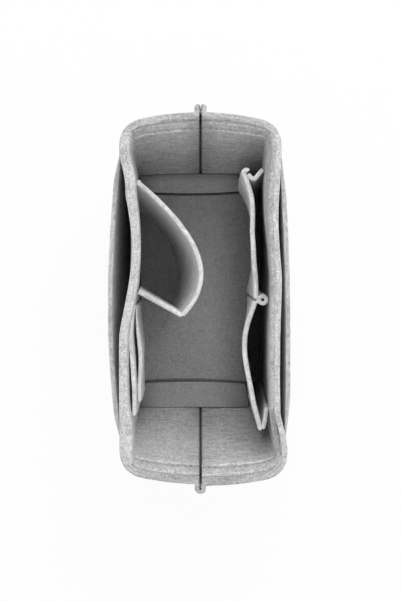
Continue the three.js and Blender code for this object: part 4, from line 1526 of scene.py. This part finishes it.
class ORGANIZER_OT_pleated_pocket(bpy.types.Operator):
    """Make the pleated pocket: its loop, two panels and the pleats at their far ends"""

    bl_idname = "organizer.pleated_pocket"
    bl_label = "Pleated pocket"

    LOOP_END = 0.6 * MM
    NECK_END = 1.2 * MM
    PLEAT_END = 0.8 * MM
    PLEAT_SHARE = 0.9
    ROUND_SHARE = 0.85
    NECK_BEND = 0.12
    BEND_LEVEL = 60 * MM

    def execute(self, context):
        plan = Plan(context.scene)
        pockets, edge, half = plan.pockets, plan.finish.edge_round, plan.box.felt / 2
        ring, pleat = (pockets.loop_radius - pockets.loop_bore) / 2, half * self.PLEAT_SHARE
        rows = pocket_rows(pockets.foot, pockets.pleat_top)
        back, front = "pleat_back_panel", "pleat_front_panel"
        for node, line, thick, ends, body in (
            ("pleat_loop", plan.loop_line, ring, (self.LOOP_END, self.LOOP_END), None),
            (back, plan.back_panel_line, half, (self.NECK_END, half), back),
            (front, plan.front_panel_line, half, (self.NECK_END, half), front),
            ("pleat_back_gusset", plan.back_gusset_line, pleat, (self.PLEAT_END, half), back),
            ("pleat_front_gusset", plan.front_gusset_line, pleat, (half, half), front),
        ):
            rounds = (min(edge, thick * self.ROUND_SHARE),) * 2
            piece = felt_panel(f"{node}_felt", line, rows, (-thick, thick), rounds, ends)
            cloth = "gusset_felt" if node == "pleat_front_gusset" else "pocket_felt"
            dress(piece, cloth, None if body else "shell", [node])
            shape = line(pockets.pleat_top * MIDDLE)
            if body:
                start, end = self.bend(pockets.pleat_y, shape, node == body)
                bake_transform(piece)
            line_length(shape)
        return {"FINISHED"}

    def bend(self, loop_y, shape, from_loop):
        """Two places at the bending height, from where a felt would stay with the wall to where it would move
        with its panel; they are not used
        """
        first, last = shape[0], shape[-1]
        middle_y = (first.y + last.y) / 2
        places = [(last.x, middle_y), (first.x, middle_y)]
        if from_loop:
            places = [(first.x, loop_y), (first.x, mix(loop_y, last.y, self.NECK_BEND))]
        return [Vector((x, y, self.BEND_LEVEL)) for x, y in places]


class ORGANIZER_OT_stitching(bpy.types.Operator):
    """Sew the facing strips, the ends of the pockets and the foot of the box"""

    bl_idname = "organizer.stitching"
    bl_label = "Stitching"

    # Heights of the foot's row, and of the ends of upright rows above a pocket's foot and below its mouth
    FOOT_ROW = 5 * MM
    OUTER_START = 8 * MM
    INNER_START = 4 * MM
    MOUTH_DROP = 3 * MM

    # Points of an outer pocket's line that its foot row leaves out and that its end rows stand on
    FOOT_SKIP = 4
    SEWN_POINT = {"back": 3, "front": -4}

    # How deep threads lie in their grooves, inside and outside, and how far round a corner the outer rows go
    INSIDE_SINK = 0.4
    OUTSIDE_SINK = 0.5
    CORNER_SHARE = 0.9
    UPRIGHT_STEPS = 40

    def execute(self, context):
        plan = Plan(context.scene)
        box = plan.box
        for side in SIDES:
            for end in ENDS:
                for row, z in zip(("upper", "lower"), facing_levels(box)):
                    self.facing_row(plan, side, end, row, z)
                self.outside_rows(plan, side, end)
            foot = box.foot + self.FOOT_ROW
            line = plan.outer_line(side, foot)[self.FOOT_SKIP : -self.FOOT_SKIP]
            self.level_row(f"{side}_foot_stitches", line, foot, SIDES[side] * box.felt / 2)
        self.inner_rows(plan)
        return {"FINISHED"}

    def level_row(self, name, line, z, face, measure=None):
        """A row at one height, on the face of a panel that stands along a line"""
        unevenness = bpy.context.scene.organizer_finish.wander
        sign = 1 if face > 0 else -1
        flats = [Vector((n.x, n.y, 0)) for n in line_normals(line)]
        starts = [Vector((p.x, p.y, z)) for p in line]
        points = [p + n * (face + wander(p, unevenness)) for p, n in zip(starts, flats)]
        stitch_row(name, points, [n * sign for n in flats], measure=measure)

    def upright_row(self, name, line_at, index, span, face, body="shell"):
        """A row up a panel, at one place of its line"""
        unevenness = bpy.context.scene.organizer_finish.wander
        sign = 1 if face > 0 else -1
        points, normals = [], []
        for z in spread(span[0], span[1], self.UPRIGHT_STEPS, float):
            line = line_at(z)
            flat = line_normals(line)[index].to_3d()
            start = Vector((line[index].x, line[index].y, z))
            points.append(start + flat * (face + wander(start, unevenness)))
            normals.append(flat * sign)
        stitch_row(name, points, normals, body)

    def facing_row(self, plan, side, end, row, z):
        inward = 1 if SIDES[side] * ENDS[end] < 0 else -1
        depth = plan.box.facing_felt / 2 - plan.finish.row_depth * self.INSIDE_SINK
        measure = running(plan.facing_line(side, end, plan.box.height))
        line = plan.facing_line(side, end, z)
        self.level_row(f"{end}_{side}_{row}_stitches", line, z, inward * depth, measure)

    def outside_rows(self, plan, side, end):
        """The same rows on the outside of an end, the foot's row and the sewn end of the outer pocket"""
        box, top = plan.box, plan.pockets.outer_top
        outward = 1 if SIDES[side] * ENDS[end] > 0 else -1
        rows = list(facing_levels(box)) + [box.foot + self.FOOT_ROW]
        for row, z in zip(("upper", "lower", "foot"), rows):
            corner = plan.corner_line(side, end, z, 0.0, self.CORNER_SHARE)
            line = mirrored(plan.end_line(side, end, z, box.pinch_rim) + corner[1:], SIDES[side], ENDS[end])
            sunk = 0.0 if row == "foot" else plan.finish.row_depth * self.OUTSIDE_SINK
            name = f"{end}_{side}_{row}_outside_stitches"
            self.level_row(name, line, z, outward * (box.felt / 2 - sunk))
        index = self.SEWN_POINT[end]
        place = lambda z: plan.outer_line(side, z)
        face = SIDES[side] * box.felt / 2 * plan.outer_thinness(place(top)[index].y, side, top)
        span = (box.foot + self.OUTER_START, top - self.MOUTH_DROP)
        self.upright_row(f"{side}_outer_pocket_{end}_stitches", place, index, span, face)

    def inner_rows(self, plan):
        pockets = plan.pockets
        half, card = plan.box.felt / 2, pockets.card_felt / 2
        low = pockets.foot + self.INNER_START
        for name, line, index, top, face, body in (
            ("bottle_tab", plan.bottle_line, 2, pockets.bottle_top, half, "shell"),
            ("card_rear_front", plan.card_rear_line, -2, pockets.card_rear_top, card, "card_pocket_rear"),
            ("card_front_back", plan.card_front_line, 1, pockets.card_front_top, card, "card_pocket_front"),
            ("card_front_front", plan.card_front_line, -2, pockets.card_front_top, card, "card_pocket_front"),
            ("pleat_back_neck", plan.back_panel_line, 2, pockets.pleat_top, half, "pleat_back_panel"),
            ("pleat_front_neck", plan.front_panel_line, 2, pockets.pleat_top, -half, "pleat_front_panel"),
        ):
            self.upright_row(f"{name}_stitches", line, index, (low, top - self.MOUTH_DROP), face, body)


class ORGANIZER_OT_stage(bpy.types.Operator):
    """Set up the white floor, the soft light and the camera above the box"""

    bl_idname = "organizer.stage"
    bl_label = "Stage"

    FLOOR_GAP = 0.5 * MM
    FLOOR_GREY = (0.9, 0.9, 0.9, 1.0)
    FLOOR_GLOW = 0.9
    WHITE = (1, 1, 1, 1)
    NEAR = 0.01

    def execute(self, context):
        scene, stage = context.scene, context.scene.organizer_stage
        scene.view_settings.view_transform = "Standard"
        self.floor(stage)
        self.sky(scene, stage)
        self.lamp(scene, stage)
        self.camera(scene, stage)
        return {"FINISHED"}

    def floor(self, stage):
        mesh = bmesh.new()
        bmesh.ops.create_grid(mesh, x_segments=2, y_segments=2, size=stage.floor_span / 2)
        bmesh.ops.translate(mesh, vec=(0, 0, -self.FLOOR_GAP), verts=mesh.verts)
        floor = finish_mesh("studio_floor", mesh)
        graph = new_graph("studio_white")
        graph.shade(Base_Color=self.FLOOR_GREY, Roughness=0.9)
        glow = graph.add("ShaderNodeEmission", {}, {"Color": self.WHITE, "Strength": 1.0})
        surface = Wire(graph, graph.tree.nodes["Principled BSDF"].outputs[0])
        share = graph.seen_directly() * self.FLOOR_GLOW
        both = graph.add("ShaderNodeMixShader", {}, {0: share, 1: surface, 2: glow})
        graph.join(graph.tree.nodes["Material Output"].inputs["Surface"], both)
        floor.data.materials.append(graph.owner)

    def sky(self, scene, stage):
        scene.world = bpy.data.worlds.new("studio_sky")
        graph = Graph(scene.world)
        seen = graph.seen_directly()
        background = graph.tree.nodes["Background"]
        graph.join(background.inputs["Color"], self.WHITE)
        graph.join(background.inputs["Strength"], seen + (1 - seen) * stage.sky)

    def lamp(self, scene, stage):
        light = bpy.data.lights.new("overhead_softbox", "AREA")
        light.shape = "RECTANGLE"
        light.size, light.size_y = stage.lamp_span
        light.energy = stage.key
        lamp = bpy.data.objects.new("overhead_softbox", light)
        lamp.location = stage.lamp
        aim = Vector(stage.lamp_target) - lamp.location
        lamp.rotation_euler = aim.to_track_quat("-Z", "Y").to_euler()
        scene.collection.objects.link(lamp)

    def camera(self, scene, stage):
        data = bpy.data.cameras.new("camera")
        data.sensor_fit = "VERTICAL"
        data.sensor_height = stage.sensor
        data.lens = stage.lens
        data.clip_start = self.NEAR
        camera = bpy.data.objects.new("camera", data)
        camera.location = stage.camera
        toward = (Vector(stage.camera) - Vector(stage.target)).normalized()
        right = Vector((0, 1, 0)).cross(toward).normalized()
        turn = Matrix((right, toward.cross(right), toward)).transposed()
        camera.rotation_euler = turn.to_euler()
        scene.collection.objects.link(camera)
        scene.camera = camera


OPERATORS = (
    ORGANIZER_OT_stage,
    ORGANIZER_OT_base,
    ORGANIZER_OT_walls,
    ORGANIZER_OT_outer_pockets,
    ORGANIZER_OT_bottle_pocket,
    ORGANIZER_OT_card_pockets,
    ORGANIZER_OT_pleated_pocket,
    ORGANIZER_OT_stitching,
)


class ORGANIZER_PT_panel(bpy.types.Panel):
    """Buttons for each group of pieces"""

    bl_idname = "ORGANIZER_PT_panel"
    bl_label = "Felt organizer"
    bl_space_type = "VIEW_3D"
    bl_region_type = "UI"
    bl_category = "Organizer"

    def draw(self, context):
        for operator in OPERATORS:
            self.layout.operator(operator.bl_idname)


GROUPS = {
    "organizer_box": OrganizerBox,
    "organizer_pockets": OrganizerPockets,
    "organizer_finish": OrganizerFinish,
    "organizer_stage": OrganizerStage,
}


def register():
    for group in GROUPS.values():
        bpy.utils.register_class(group)
    for name, group in GROUPS.items():
        setattr(bpy.types.Scene, name, PointerProperty(type=group))
    for item in OPERATORS + (ORGANIZER_PT_panel,):
        bpy.utils.register_class(item)


def unregister():
    for item in reversed(OPERATORS + (ORGANIZER_PT_panel,)):
        bpy.utils.unregister_class(item)
    for name in GROUPS:
        delattr(bpy.types.Scene, name)
    for group in reversed(list(GROUPS.values())):
        bpy.utils.unregister_class(group)


def main():
    register()
    for operator in OPERATORS:
        group, name = operator.bl_idname.split(".")
        getattr(getattr(bpy.ops, group), name)()


if __name__ == "__main__":
    main()
